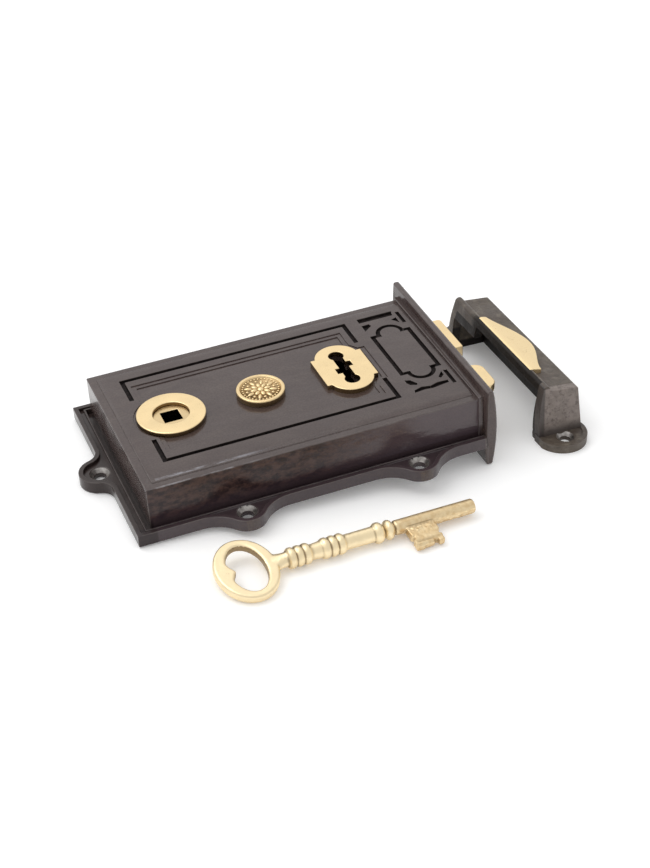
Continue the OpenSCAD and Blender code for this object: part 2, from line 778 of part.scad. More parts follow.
module guide_stud(x, y, radius) {
    collar_z = tail_top + slide_gap;
    foot = plate_t + slide_gap;
    color(steel) translate([x, y, 0]) {
        translate([0, 0, foot]) cylinder(r = radius, h = cavity_top - foot);
        translate([0, 0, collar_z]) cylinder(r = radius + 1.6, h = cavity_top - collar_z);
    }
}

module latch_guide_stud() {
    guide_stud(latch_stud_x, latch_stud_y, latch_stud_r);
}

module bolt_guide_stud() {
    guide_stud(dead_stud_x, dead_stud_y, dead_stud_r);
}

module dead_bolt() {
    x1 = backset + dead_out;
    corner_r = 1.6;
    slot_w = 2 * dead_stud_r + 0.4;
    slot_x1 = dead_stud_x + dead_throw + 0.2;
    color(brass) union() {
        translate([0, 0, bolt_z]) linear_extrude(bolt_t) {
            translate([bolt_root_x, dead_y0]) square([x1 - bolt_root_x, dead_w - corner_r]);
            translate([bolt_root_x, dead_y0]) square([x1 - corner_r - bolt_root_x, dead_w]);
            translate([x1 - corner_r, dead_y1 - corner_r]) circle(corner_r);
        }
        translate([0, 0, tail_z]) linear_extrude(tail_t) difference() {
            translate([dead_tail_x, dead_tail_y0])
                square([bolt_root_x - dead_tail_x + eps, dead_tail_y1 - dead_tail_y0]);
            translate([key_x - talon_w / 2, dead_tail_y0 - 1])
                square([talon_w, talon_top - dead_tail_y0 + 1]);
            for (x = [dead_stud_x, slot_x1]) translate([x, dead_stud_y]) circle(d = slot_w);
            translate([dead_stud_x, dead_stud_y - slot_w / 2]) square([slot_x1 - dead_stud_x, slot_w]);
            for (x = [nose_x, nose_x + dead_throw]) translate([x, dead_tail_y1])
                polygon([[-nose_half, eps], [0, -nose_depth], [nose_half, eps]]);
        }
    }
}

// Flat spring with a bent nose that rests in the dead bolt's notch
module detent_spring() {
    nose_y = dead_tail_y1 - nose_depth + 0.5;
    under = [
        [leaf_seat_x, leaf_seat_y - leaf_t], [leaf_seat_x + leaf_seat_l, leaf_seat_y - leaf_t],
        [nose_x - 3, nose_y + 2.5], [nose_x, nose_y], [nose_x + 3, nose_y + 2.5], [nose_x + 6, nose_y + 4]
    ];
    over = [
        [nose_x + 5.7, nose_y + 4.8], [nose_x + 2.6, nose_y + 3.3], [nose_x, nose_y + 1.1],
        [nose_x - 2.6, nose_y + 3.3], [leaf_seat_x + leaf_seat_l + 0.3, leaf_seat_y],
        [leaf_seat_x, leaf_seat_y]
    ];
    color(steel) difference() {
        translate([0, 0, leaf_z]) linear_extrude(leaf_w + 0.4) polygon(concat(under, over));
        for (x = leaf_rivets) translate([x, leaf_seat_y - leaf_t - 1, rod_z])
            rotate([-90, 0, 0]) cylinder(r = leaf_rivet_r + seat_gap, h = leaf_t + 2);
    }
}

module detent_spring_rivets() {
    head_t = 0.8;
    color(steel) for (x = leaf_rivets) translate([x, leaf_seat_y - leaf_t, rod_z]) {
        rotate([-90, 0, 0]) cylinder(r = leaf_rivet_r, h = leaf_t + leaf_rivet_l);
        rotate([90, 0, 0]) cylinder(r = leaf_rivet_r * 1.7, h = head_t);
    }
}

module ward_ring(z) {
    color(steel) translate([key_x, key_y, z]) difference() {
        cylinder(r = ward_r + ward_t / 2, h = ward_h);
        translate([0, 0, -1]) cylinder(r = ward_r - ward_t / 2, h = ward_h + 2);
        translate([-ward_gap, 0, -1]) cube([2 * ward_gap, 2 * ward_r, ward_h + 2]);
    }
}

module front_ward() {
    ward_ring(cavity_top - ward_h);
}

module back_ward() {
    ward_ring(plate_t);
}

// Frame of the surface that the lock lies on: its x runs under the lock from the rear lug's end
module on_surface(place) {
    translate([rear_end_x, 0, 0]) rotate([0, lie_tilt, 0])
        translate([place[0], place[1], 0]) rotate(place[2]) children();
}

module keep_place_frame() {
    on_surface(keep_place) children();
}

module keep_lug_outline(inset) {
    intersection() {
        translate([keep_lug_x, keep_lug_y]) circle(keep_lug_r - inset);
        translate([inset - keep_bow, keep_l / 2 - 1]) square([2 * keep_lug_r, 2 * keep_lug_r]);
    }
}

module keep_lug() {
    difference() {
        linear_extrude(keep_lug_t) keep_lug_outline(0);
        translate([0, 0, keep_lug_floor]) linear_extrude(keep_lug_t) keep_lug_outline(rim_w);
        translate([keep_hole_x, keep_hole_y, 0]) fixing_hole(keep_lug_floor, keep_csk_d);
    }
}

// Section of the keep across the door's edge: bowed front, round striking edge, sloping top and back
module keep_section() {
    edge_z = keep_h - keep_edge_r;
    intersection() {
        polygon([
            [-keep_bow - 1, 0], [keep_d, 0], [keep_top_d, keep_top - keep_fall],
            [keep_edge_x + keep_edge_r, keep_top], [keep_edge_x + keep_edge_r, edge_z],
            [-keep_bow - 1, edge_z]
        ]);
        translate([keep_bow_r - keep_bow, keep_bow_z]) circle(keep_bow_r, $fn = 180);
    }
    translate([keep_edge_x, edge_z]) circle(keep_edge_r);
}

module keep_hollow() {
    polygon([
        [keep_face_t, -1], [keep_d - keep_wall, -1],
        [keep_top_d - keep_wall, keep_top - keep_fall - keep_roof],
        [keep_face_t, keep_top - keep_roof]
    ]);
}

module along_keep(length) {
    translate([0, length / 2, 0]) rotate([90, 0, 0]) linear_extrude(length) children();
}

module keep_shell() {
    foot = keep_l / 2 + keep_draft;
    through = keep_face_t + keep_bow + 1;
    difference() {
        intersection() {
            along_keep(2 * foot) keep_section();
            translate([-keep_d, 0, 0]) rotate([90, 0, 90]) linear_extrude(3 * keep_d)
                polygon([[-foot, 0], [foot, 0], [keep_l / 2, keep_h], [-keep_l / 2, keep_h]]);
        }
        along_keep(2 * keep_inner_half) keep_hollow();
        translate([-keep_bow - 1, keep_mouth_y0, -1])
            cube([through + eps, keep_mouth_step - keep_mouth_y0, keep_mouth_latch + 1]);
        translate([-keep_bow - 1, keep_mouth_step - eps, -1])
            cube([through + eps, keep_mouth_y1 - keep_mouth_step + eps, keep_mouth_dead + 1]);
        translate([0, 0, lip_seat]) linear_extrude(keep_h) lip_outline(seat_gap);
        for (p = lip_rivets) translate([p[0], p[1], lip_seat - keep_roof])
            cylinder(r = lip_rivet_r + seat_gap, h = keep_h);
    }
}

module keep_case() {
    color(keep_iron) keep_place_frame() {
        keep_shell();
        keep_lug();
        mirror([0, 1, 0]) keep_lug();
    }
}

// Back edge of the lip at a share of its length: an ogee that swells past its middle
function lip_back(share) =
    lip_x + lip_end_w + (lip_w - 4) * pow(sin(180 * pow(share, 0.95)), 1.5) + lip_widening * share;

module lip_outline(grow) {
    steps = 24;
    length = lip_l + 2 * grow;
    back_points = [for (i = [0 : steps]) [lip_back(i / steps) + grow, lip_y1 + grow - i / steps * length]];
    polygon(concat([[lip_x - grow, lip_y0 - grow], [lip_x - grow, lip_y1 + grow]], back_points));
}

function lip_top(x) = keep_h - (x - lip_x - 1.5) * (keep_h - keep_top + 0.2) / lip_w;

module keep_lip() {
    end_x = lip_x + lip_w + 1;
    color(brass) keep_place_frame() difference() {
        intersection() {
            translate([0, 0, lip_seat]) linear_extrude(keep_h) lip_outline(0);
            translate([0, lip_y1 - lip_l / 2, 0]) along_keep(lip_l + 2) polygon([
                [0, lip_seat - 1], [end_x, lip_seat - 1], [end_x, lip_top(end_x)],
                [lip_x + 1.5, keep_h], [lip_x, keep_h - 0.2], [0, keep_h - 0.2]
            ]);
        }
        for (p = lip_rivets) translate([p[0], p[1], lip_seat - 1])
            cylinder(r = lip_rivet_r + seat_gap, h = keep_h);
    }
}

module keep_lip_rivets() {
    color(brass) keep_place_frame() for (p = lip_rivets) {
        foot = keep_top - keep_fall / 2 - keep_roof;
        translate([p[0], p[1], foot]) cylinder(r = lip_rivet_r, h = lip_top(p[0] + lip_rivet_r) - foot);
    }
}

function oval(l, w, n = 64) = [for (i = [0 : n - 1]) [l / 2 * cos(360 * i / n), w / 2 * sin(360 * i / n)]];

module key_bow() {
    neck_band = 5;
    tail_band = 5.6;
    side_band = 3.8;
    cusp = 3.4;
    cusp_half = 5;
    hole_l = bow_l - neck_band - tail_band;
    hole_w = bow_w - 2 * side_band;
    translate([0, 0, -bow_t / 2]) linear_extrude(bow_t) difference() {
        translate([bow_l / 2, 0]) polygon(oval(bow_l, bow_w));
        difference() {
            translate([tail_band + hole_l / 2, 0]) polygon(oval(hole_l, hole_w));
            polygon([[tail_band - 1, -cusp_half], [tail_band + cusp, 0], [tail_band - 1, cusp_half]]);
        }
    }
    translate([0, 0, -bow_t / 2]) linear_extrude(bow_t) polygon([
        [bow_l - neck_band, -flare_half], [first_beads - first_pitch / 2, -neck_r],
        [first_beads - first_pitch / 2, neck_r], [bow_l - neck_band, flare_half]
    ]);
}

module key_beads(start, pitch) {
    bead_r = pitch / 2;
    for (i = [0 : 2]) translate([collar_r - bead_r, start + i * pitch]) circle(bead_r, $fn = 32);
    translate([0, start - bead_r / 2]) square([collar_r - bead_r, 2 * pitch + bead_r]);
}

// Turned part of the key: neck, beaded collars, barrel, ring, ball and pin
module key_shank() {
    ring_half = 2.2;
    rotate([0, 90, 0]) rotate_extrude() {
        translate([0, bow_l - 2]) square([neck_r, second_beads - bow_l + 2]);
        translate([0, second_beads]) square([barrel_r, ring_bead - second_beads]);
        translate([0, ring_bead - 1]) square([key_pin_d / 2, key_l - ring_bead + 1]);
        key_beads(first_beads, first_pitch);
        key_beads(second_beads, second_pitch);
        translate([collar_r - ring_half, ring_bead]) circle(ring_half, $fn = 32);
        translate([0, ring_bead - ring_half / 2]) square([collar_r - ring_half, ring_half]);
        intersection() {
            translate([0, ball_bead]) circle(ball_r, $fn = 48);
            translate([0, ball_bead - ball_half]) square([ball_r, 2 * ball_half]);
        }
    }
}

module key_bit() {
    ward_slot_w = ward_t + 0.8;
    ward_slot_d = ward_h + 0.6;
    difference() {
        translate([bit_start, -bit_reach, -bit_t / 2]) cube([bit_l, bit_reach - key_pin_d / 4, bit_t]);
        for (x = [bit_start - 1, bit_end - ward_slot_d])
            translate([x, -ward_r - ward_slot_w / 2, -bit_t])
                cube([ward_slot_d + 1, ward_slot_w, 2 * bit_t]);
        translate([bit_end - 5.4, -bit_reach - 1, -bit_t]) cube([2.2, 3, 2 * bit_t]);
        translate([bit_start - 1, -bit_reach + 2.4, bit_t / 2 - 0.8]) cube([bit_l + 2, 2, 2]);
    }
}

module key() {
    color(brass) on_surface(key_place) translate([0, 0, collar_r + seat_gap]) rotate([key_roll, 0, 0]) {
        key_bow();
        key_shank();
        key_bit();
    }
}

case();
back_plate();
back_plate_screws();
spindle_bush();
badge();
escutcheon();
follower();
latch_bolt();
latch_tail();
latch_spring();
latch_guide_stud();
dead_bolt();
bolt_guide_stud();
detent_spring();
detent_spring_rivets();
front_ward();
back_ward();
keep_case();
keep_lip();
keep_lip_rivets();
key();
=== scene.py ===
import json
import math

import bmesh
import bpy
from mathutils import Matrix, Vector, noise


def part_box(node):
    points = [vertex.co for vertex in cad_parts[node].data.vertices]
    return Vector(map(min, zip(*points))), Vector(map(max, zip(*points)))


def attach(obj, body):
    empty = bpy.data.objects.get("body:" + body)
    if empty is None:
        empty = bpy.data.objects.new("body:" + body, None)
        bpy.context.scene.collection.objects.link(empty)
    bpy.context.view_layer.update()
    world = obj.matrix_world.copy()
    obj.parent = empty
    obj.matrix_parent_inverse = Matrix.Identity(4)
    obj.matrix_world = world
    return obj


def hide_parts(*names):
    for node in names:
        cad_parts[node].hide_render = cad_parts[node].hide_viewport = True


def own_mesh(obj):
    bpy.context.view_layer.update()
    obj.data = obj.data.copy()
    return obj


MM = 0.001
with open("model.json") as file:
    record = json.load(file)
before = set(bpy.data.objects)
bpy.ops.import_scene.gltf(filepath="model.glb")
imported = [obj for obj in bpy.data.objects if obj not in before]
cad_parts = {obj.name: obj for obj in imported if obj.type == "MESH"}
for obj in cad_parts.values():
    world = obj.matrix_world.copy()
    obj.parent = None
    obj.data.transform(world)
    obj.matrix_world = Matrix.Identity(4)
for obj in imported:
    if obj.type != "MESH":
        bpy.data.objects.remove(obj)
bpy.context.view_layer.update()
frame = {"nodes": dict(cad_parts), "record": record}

# Camera, as the photograph was taken: angles over the surface that the lock lies on
LIE_TILT = math.radians(3.1406)
EYE = Vector((-149.19, -603.33, 459.96)) * MM
AZIMUTH, ELEVATION, ROLL = math.radians(-22.03), math.radians(34.96), math.radians(0.31)
LENS_MM, SENSOR_MM = 73.02, 36.0
SURFACE = Matrix.Rotation(LIE_TILT, 4, "Y")

# Places of the loose pieces on that surface: along it from the rear lug's end, across it, and their turn in degrees
REAR_END_X = -43.5
KEY_PLACE = (32.1, -86.1, 3.2)
KEEP_PLACE = (198.8, 0.6, 1.8)


def on_surface(place):
    """A loose piece's frame, from its place."""
    x, y, turn = place
    start = Matrix.Translation(Vector((REAR_END_X, 0, 0)) * MM) @ SURFACE
    return start @ Matrix.Translation(Vector((x, y, 0)) * MM) @ Matrix.Rotation(math.radians(turn), 4, "Z")


def add_camera():
    data = bpy.data.cameras.new("photo_view")
    data.lens = LENS_MM
    data.sensor_width = SENSOR_MM
    data.clip_start, data.clip_end = 0.01, 20
    camera = bpy.data.objects.new("photo_view", data)
    bpy.context.scene.collection.objects.link(camera)
    turn = Matrix.Rotation(AZIMUTH, 4, "Z") @ Matrix.Rotation(math.pi / 2 - ELEVATION, 4, "X")
    camera.matrix_world = Matrix.Translation(EYE) @ SURFACE @ turn @ Matrix.Rotation(ROLL, 4, "Z")
    bpy.context.scene.camera = camera


# Half the width of a mask's eased border, in mm
MASK_BORDER = 0.1


class Finish:
    """A material, with short calls for the nodes that the finishes share. Patterns read Object coordinates."""

    def __init__(self, name, metallic=0.0, roughness=0.5):
        self.material = bpy.data.materials.new(name)
        self.material.use_nodes = True
        self.nodes = self.material.node_tree.nodes
        self.links = self.material.node_tree.links
        self.shader = self.nodes["Principled BSDF"]
        self.shader.inputs["Metallic"].default_value = metallic
        self.shader.inputs["Roughness"].default_value = roughness
        self.place = self.nodes.new("ShaderNodeTexCoord").outputs["Object"]
        self.axes = None

    def lay(self, lie):
        """Reads the patterns in a loose piece's own frame, from how the piece lies."""
        mapping = self.nodes.new("ShaderNodeMapping")
        back = lie.inverted()
        mapping.inputs["Location"].default_value = back.to_translation()
        mapping.inputs["Rotation"].default_value = back.to_euler()
        self.links.new(self.place, mapping.inputs["Vector"])
        self.place = mapping.outputs[0]

    def feed(self, socket, value):
        if isinstance(value, bpy.types.NodeSocket):
            self.links.new(value, socket)
        else:
            socket.default_value = value

    def math(self, operation, a, b=0.0):
        node = self.nodes.new("ShaderNodeMath")
        node.operation = operation
        self.feed(node.inputs[0], a)
        self.feed(node.inputs[1], b)
        return node.outputs[0]

    def axis(self, letter):
        if self.axes is None:
            self.axes = self.nodes.new("ShaderNodeSeparateXYZ")
            self.links.new(self.place, self.axes.inputs[0])
        return self.axes.outputs[letter]

    def noise(self, size_mm, detail=3.0, stretch=(1, 1, 1), rough=0.5):
        """Noise from 0 to 1 whose blots measure about size_mm, drawn out along the axes with a small stretch."""
        mapping = self.nodes.new("ShaderNodeMapping")
        self.links.new(self.place, mapping.inputs["Vector"])
        mapping.inputs["Scale"].default_value = stretch
        node = self.nodes.new("ShaderNodeTexNoise")
        self.links.new(mapping.outputs[0], node.inputs["Vector"])
        node.inputs["Scale"].default_value = 1 / (size_mm * MM)
        node.inputs["Detail"].default_value = detail
        node.inputs["Roughness"].default_value = rough
        return node.outputs["Fac"]

    def between(self, value, low, high, to_low=0.0, to_high=1.0):
        """Value mapped from low..high to to_low..to_high, held at both ends and eased."""
        node = self.nodes.new("ShaderNodeMapRange")
        node.interpolation_type = "SMOOTHSTEP"
        for name, number in zip(("From Min", "From Max", "To Min", "To Max"), (low, high, to_low, to_high)):
            node.inputs[name].default_value = number
        self.feed(node.inputs["Value"], value)
        return node.outputs[0]

    def ramp(self, letter, low, high, to_low=0.0, to_high=1.0):
        """The same for the coordinate along an axis, with low and high in mm."""
        return self.between(self.axis(letter), low * MM, high * MM, to_low, to_high)

    def times(self, *shares):
        """Product of several masks."""
        product = shares[0]
        for share in shares[1:]:
            product = self.math("MULTIPLY", product, share)
        return product

    def within(self, place, low, high):
        """1 where a coordinate lies between two limits in mm, with an eased border."""
        return self.times(self.between(place, (low - MASK_BORDER) * MM, (low + MASK_BORDER) * MM),
                          self.between(place, (high + MASK_BORDER) * MM, (high - MASK_BORDER) * MM))

    def inside(self, **limits):
        """1 where each named axis lies between its two limits in mm."""
        return self.times(*(self.within(self.axis(letter.upper()), *pair) for letter, pair in limits.items()))

    def mix(self, share, a, b):
        """Colour between a and b; sockets 6 and 7 and output 2 are those that the Mix node uses for colours."""
        node = self.nodes.new("ShaderNodeMix")
        node.data_type = "RGBA"
        self.feed(node.inputs[0], share)
        for socket, colour in ((node.inputs[6], a), (node.inputs[7], b)):
            self.feed(socket, (*colour, 1) if isinstance(colour, tuple) else colour)
        return node.outputs[2]

    def attribute(self, name):
        node = self.nodes.new("ShaderNodeAttribute")
        node.attribute_name = name
        return node.outputs["Fac"]

    def bump(self, height, depth_mm, normal=None, strength=1.0):
        node = self.nodes.new("ShaderNodeBump")
        self.feed(node.inputs["Strength"], strength)
        node.inputs["Distance"].default_value = depth_mm * MM
        self.links.new(height, node.inputs["Height"])
        if normal is not None:
            self.links.new(normal, node.inputs["Normal"])
        return node.outputs[0]

    def set(self, socket, value):
        self.feed(self.shader.inputs[socket], value)


# Colours of the finishes
LACQUER = (0.074, 0.052, 0.048)
LACQUER_DEEP = (0.062, 0.042, 0.039)
LACQUER_THIN = (0.088, 0.064, 0.056)
LACQUER_PORE = (0.024, 0.015, 0.014)
WALL_BLACK = (0.016, 0.008, 0.009)
WALL_BROWN = (0.068, 0.037, 0.031)
WALL_GREY = (0.088, 0.062, 0.072)
# Purple tint with painted shade for the front wall's foot
PURPLE_WALL_FOOT_SHADE = (0.046, 0.032, 0.042)
FOOT_PURPLE = (0.038, 0.024, 0.033)
# Painted shade for the rear channel at the wall's foot
CHANNEL_SHADE = (0.016, 0.011, 0.010)
BORDER_GLINT = (0.40, 0.40, 0.45)
WORN_GREY = (0.125, 0.105, 0.098)
# Rubbed front top edge, with a painted highlight
RUBBED_EDGE_HIGHLIGHT = (0.42, 0.41, 0.43)
CUT_IRON = (0.42, 0.40, 0.38)
CUT_IRON_DULL = (0.24, 0.22, 0.21)
# Painted shade for the ornament's groove floors, mottled with dust
GROOVE_SHADE = (0.012, 0.009, 0.009)
DUSTY_GROOVE_SHADE = (0.030, 0.022, 0.020)
KEEP_GREY = (0.094, 0.074, 0.054)
KEEP_BROWN = (0.074, 0.056, 0.045)
KEEP_RUBBED = (0.185, 0.158, 0.122)
KEEP_END = (0.225, 0.185, 0.165)
KEEP_FOOT = (0.035, 0.027, 0.024)
KEEP_SPECK = (0.034, 0.024, 0.018)
# Painted shade for the keep's pocket and striking face
KEEP_POCKET_SHADE = (0.012, 0.009, 0.008)
# Painted shade for the keep's near rounded corner
KEEP_CHEEK_SHADE = (0.030, 0.023, 0.021)
PALE_BRASS = (0.90, 0.70, 0.40)
# Paler lip brass, as painted light
PAINTED_LIGHT_LIP_BRASS = (0.99, 0.78, 0.45)
HUB_BRASS = (0.60, 0.45, 0.25)
BADGE_BRASS = (0.86, 0.66, 0.37)
BADGE_FIELD = (0.27, 0.18, 0.09)
KEY_BRASS = (0.95, 0.795, 0.52)
KEY_WORN = (0.68, 0.49, 0.26)
TARNISH = (0.20, 0.125, 0.06)
# Nearly black, for inside the case and the follower's square hole
CASE_INSIDE_BLACK = (0.02, 0.012, 0.006)
PLATE_STEEL = (0.06, 0.055, 0.052)
BRIGHT_STEEL = (0.55, 0.55, 0.56)

# Where the case's front side lies, in mm, and how far the keep's end walls lean in for each mm of height
FRONT_SIDE = {"x": (-60, 125), "y": (-60, -44.9)}
END_DRAFT = 0.118


def lacquered_iron(name="lacquered_iron", worn=0.0):
    """Dark brown-black lacquer on a sand casting: blotched on the front wall, rough along the face's border.

    Where it is worn, as on edges, the iron's grey shows through in patches; along the front top edge the rubbed
    lacquer also carries a painted highlight."""
    finish = Finish(name)
    broad = finish.between(finish.noise(38, 4), 0.35, 0.65)
    colour = finish.mix(broad, LACQUER, LACQUER_DEEP)
    fine = finish.between(finish.noise(5, 5, (0.35, 1, 1)), 0.4, 0.7, 0, 0.5)
    colour = finish.mix(fine, colour, LACQUER_THIN)
    pores = finish.between(finish.noise(0.9, 5, rough=0.65), 0.35, 0.65)
    colour = finish.mix(finish.times(pores, 0.36), colour, LACQUER_PORE)

    front = finish.inside(**FRONT_SIDE, z=(6.2, 30))
    left = finish.ramp("X", 100, 30)
    blotches = finish.between(finish.noise(3.2, 6, (0.6, 1, 1), 0.68), 0.38, 0.62)
    wall = finish.mix(blotches, WALL_BLACK, WALL_BROWN)
    colour = finish.mix(finish.times(front, finish.between(left, 0, 1, 0.12, 0.95)), colour, wall)
    colour = finish.mix(finish.times(front, finish.between(left, 1, 0, 0, 0.55)), colour, WALL_GREY)
    # Darker and purpler toward the front wall's foot: a purple tint of the lacquer, with painted shade and a painted
    # reflection of the dark flange
    colour = finish.mix(finish.times(front, finish.ramp("Z", 13, 6, 0, 0.6)), colour, PURPLE_WALL_FOOT_SHADE)

    foot = finish.times(finish.inside(**FRONT_SIDE), finish.ramp("Z", 6.4, 6))
    colour = finish.mix(finish.times(foot, 0.6), colour, FOOT_PURPLE)
    # Painted shade: darker low down at the rear, in the channel by the wall's foot
    channel = finish.times(finish.ramp("X", -23.5, -24.5), finish.ramp("Z", 9, 6))
    colour = finish.mix(finish.times(channel, 0.6), colour, CHANNEL_SHADE)
    fade = finish.ramp("X", 32, 12)
    glints = finish.times(fade, finish.inside(x=(-20, 40), y=(-40.7, -39.6), z=(22.8, 24.4)),
                          finish.between(finish.noise(2.2, 5, (0.25, 1, 1), 0.6), 0.4, 0.66))
    colour = finish.mix(finish.times(glints, 0.5), colour, BORDER_GLINT)
    if worn:
        patches = finish.between(finish.noise(6, 5), 0.3, 0.65, 0.25 * worn, worn)
        colour = finish.mix(patches, colour, WORN_GREY)
        # Rubbed lacquer along the front top edge, pale bluish grey with a painted highlight
        rubbed = finish.times(fade, finish.inside(x=(-24, 40), y=(-48, -43), z=(18, 24.5)),
                              finish.between(finish.noise(4, 5, (0.4, 1, 1), 0.6), 0.4, 0.66, 0, 0.6))
        colour = finish.mix(rubbed, colour, RUBBED_EDGE_HIGHLIGHT)
    finish.set("Base Color", colour)
    finish.set("Roughness", finish.between(finish.noise(14, 5), 0.3, 0.7, 0.13, 0.27))
    dull = finish.math("MAXIMUM", finish.times(front, left), finish.times(channel, 0.7))
    finish.set("Specular IOR Level", finish.between(dull, 0, 1, 0.55, 0.33))

    border = finish.inside(x=(-24, 70), y=(-42, -37.2), z=(22.9, 24.05))
    sand = finish.bump(finish.noise(1.8, 3), 0.03, strength=finish.ramp("X", -23.5, -22.5, 0.1, 1))
    pits = finish.bump(finish.noise(1.3, 4, rough=0.7), 0.3, sand, border)
    streaks = finish.bump(finish.noise(3.5, 4, (0.45, 1, 1), 0.6), 0.22, pits, front)
    finish.set("Normal", finish.bump(finish.noise(10, 2), 0.3, streaks))
    return finish.material


def bare_iron():
    """Iron that a countersink cut bare, dulled again."""
    finish = Finish("bare_iron", metallic=1.0)
    blots = finish.between(finish.noise(1.5, 5), 0.35, 0.7)
    finish.set("Base Color", finish.mix(blots, CUT_IRON, CUT_IRON_DULL))
    finish.set("Roughness", finish.between(finish.noise(2, 4), 0.3, 0.7, 0.32, 0.5))
    return finish.material


def groove_shade_and_dust():
    """Painted shade, nearly black, on the floors of the face's ornament, mottled with dust."""
    finish = Finish("groove_shade_and_dust", roughness=0.7)
    dust = finish.between(finish.noise(3, 5), 0.4, 0.75)
    # Painted shade in the grooves: near black, with a dusty mottle
    finish.set("Base Color", finish.mix(dust, GROOVE_SHADE, DUSTY_GROOVE_SHADE))
    finish.set("Specular IOR Level", 0.12)
    finish.set("Normal", finish.bump(finish.noise(1.2, 4), 0.08))
    return finish.material


def keep_iron():
    """The keep's lacquer: greyer and more matt, rubbed thin on the top, lighter on the near end, with painted shade
    in the pocket, on the striking face and on the near end's rounded corner.
    """
    finish = Finish("keep_iron")
    finish.lay(on_surface(KEEP_PLACE))
    broad = finish.between(finish.noise(20, 4), 0.35, 0.65)
    colour = finish.mix(broad, KEEP_GREY, KEEP_BROWN)
    rubbed = finish.between(finish.noise(4, 6), 0.5, 0.75, 0, 0.6)
    colour = finish.mix(rubbed, colour, KEEP_RUBBED)

    lean = finish.times(finish.axis("Z"), END_DRAFT)
    along = finish.math("SUBTRACT", finish.axis("Y"), lean)
    far_along = finish.math("ADD", finish.axis("Y"), lean)
    near_end = finish.times(finish.inside(x=(-5, 30), z=(3.6, 27)), finish.within(along, -46, -41.7))
    # The near end is lighter in patches, and darker towards its foot
    thin = finish.between(finish.noise(3.5, 6, rough=0.65), 0.32, 0.62, 0.5, 1)
    colour = finish.mix(finish.times(near_end, thin, 0.9), colour, KEEP_END)
    colour = finish.mix(finish.times(near_end, finish.ramp("Z", 9.5, 4.5, 0, 0.8)), colour, KEEP_FOOT)
    specks = finish.between(finish.noise(1.8, 6, rough=0.65), 0.5, 0.66, 0, 0.55)
    colour = finish.mix(specks, colour, KEEP_SPECK)

    # Painted shade, nearly black, in the pocket behind the mouth and on the striking face under the lip, with its
    # gloss lowered
    past_near_end = finish.within(along, -41.5, 60)
    pocket = finish.times(finish.inside(x=(-3, 16.2), z=(-1, 23)), past_near_end, finish.within(far_along, -60, 41.5))
    striking_face = finish.times(finish.inside(x=(-3, 1.6)), past_near_end, finish.ramp("Y", 29, 21))
    dark = finish.math("MAXIMUM", pocket, striking_face)
    colour = finish.mix(finish.times(dark, 0.95), colour, KEEP_POCKET_SHADE)
    # Painted shade on the rounded corner where the near end meets the striking side
    cheek = finish.times(finish.ramp("X", 1, 0), finish.within(along, -46, -41.5))
    colour = finish.mix(finish.times(cheek, 0.8), colour, KEEP_CHEEK_SHADE)
    finish.set("Specular IOR Level", finish.between(dark, 0, 1, 0.5, 0.2))
    finish.set("Base Color", colour)
    finish.set("Roughness", finish.between(finish.noise(9, 5), 0.3, 0.7, 0.38, 0.55))
    sand = finish.bump(finish.noise(1.4, 4, rough=0.6), 0.14)
    finish.set("Normal", finish.bump(finish.noise(7, 2), 0.3, sand))
    return finish.material


def brass(name, base, roughness=(0.27, 0.38), specks=0.3):
    """Satin brass and its colour, with faint clouds and small dark specks; the colour is still to be set."""
    finish = Finish(name, metallic=1.0)
    clouds = finish.between(finish.noise(9, 4), 0.35, 0.7)
    colour = finish.mix(clouds, base, tuple(0.93 * c for c in base))
    speck = finish.between(finish.noise(1.3, 5), 0.64, 0.8, 0, specks)
    colour = finish.mix(speck, colour, TARNISH)
    grain = finish.noise(0.6, 3)
    finish.set("Roughness", finish.between(grain, 0.3, 0.7, *roughness))
    finish.set("Normal", finish.bump(grain, 0.004))
    return finish, colour


def satin_brass():
    """Brass of the rose, escutcheon, bolts and lip: tarnished on the thin edges, nearly black inside the case and in
    the follower's square hole, and paler on the lip as painted light.
    """
    finish, colour = brass("satin_brass", PALE_BRASS)
    x, y = finish.axis("X"), finish.axis("Y")
    radius = finish.math("SQRT", finish.math("ADD", finish.times(x, x), finish.times(y, y)))
    edges = finish.times(finish.inside(z=(22.6, 25.25)), finish.between(radius, 7.85 * MM, 7.95 * MM), 0.9)
    colour = finish.mix(edges, colour, TARNISH)
    hub = finish.times(finish.inside(z=(22.6, 24.4)), finish.between(radius, 7.9 * MM, 7.8 * MM), 0.55)
    colour = finish.mix(hub, colour, HUB_BRASS)
    # Paler brass on the lip: painted light, for the light the lip gets too little of
    colour = finish.mix(finish.ramp("X", 147, 149), colour, PAINTED_LIGHT_LIP_BRASS)
    # Nearly black inside the case and in the follower's square hole
    hollow = finish.math("MAXIMUM", finish.inside(x=(-60, 121), z=(-20, 22.4)),
                         finish.inside(x=(-4.12, 4.12), y=(-4.12, 4.12), z=(-20, 23.7)))
    finish.set("Base Color", finish.mix(finish.times(hollow, 0.96), colour, CASE_INSIDE_BLACK))
    return finish.material


def badge_brass():
    """The badge's brass, brown in the field between its leaves."""
    finish, colour = brass("badge_brass", BADGE_BRASS, (0.3, 0.42))
    finish.set("Base Color", finish.mix(finish.ramp("Z", 25.7, 25.3, 0, 0.85), colour, BADGE_FIELD))
    return finish.material


def key_brass():
    """The key's pale casting: browner on the worn pin and bit, dark in its hollows."""
    finish, colour = brass("key_brass", KEY_BRASS, (0.38, 0.5), 0.2)
    worn = finish.between(finish.noise(2.2, 5), 0.3, 0.7, 0.35, 0.85)
    colour = finish.mix(finish.times(worn, finish.attribute("worn")), colour, KEY_WORN)
    hollow = finish.between(finish.attribute("hollow"), 0.05, 0.6, 0, 0.85)
    finish.set("Base Color", finish.mix(hollow, colour, TARNISH))
    return finish.material


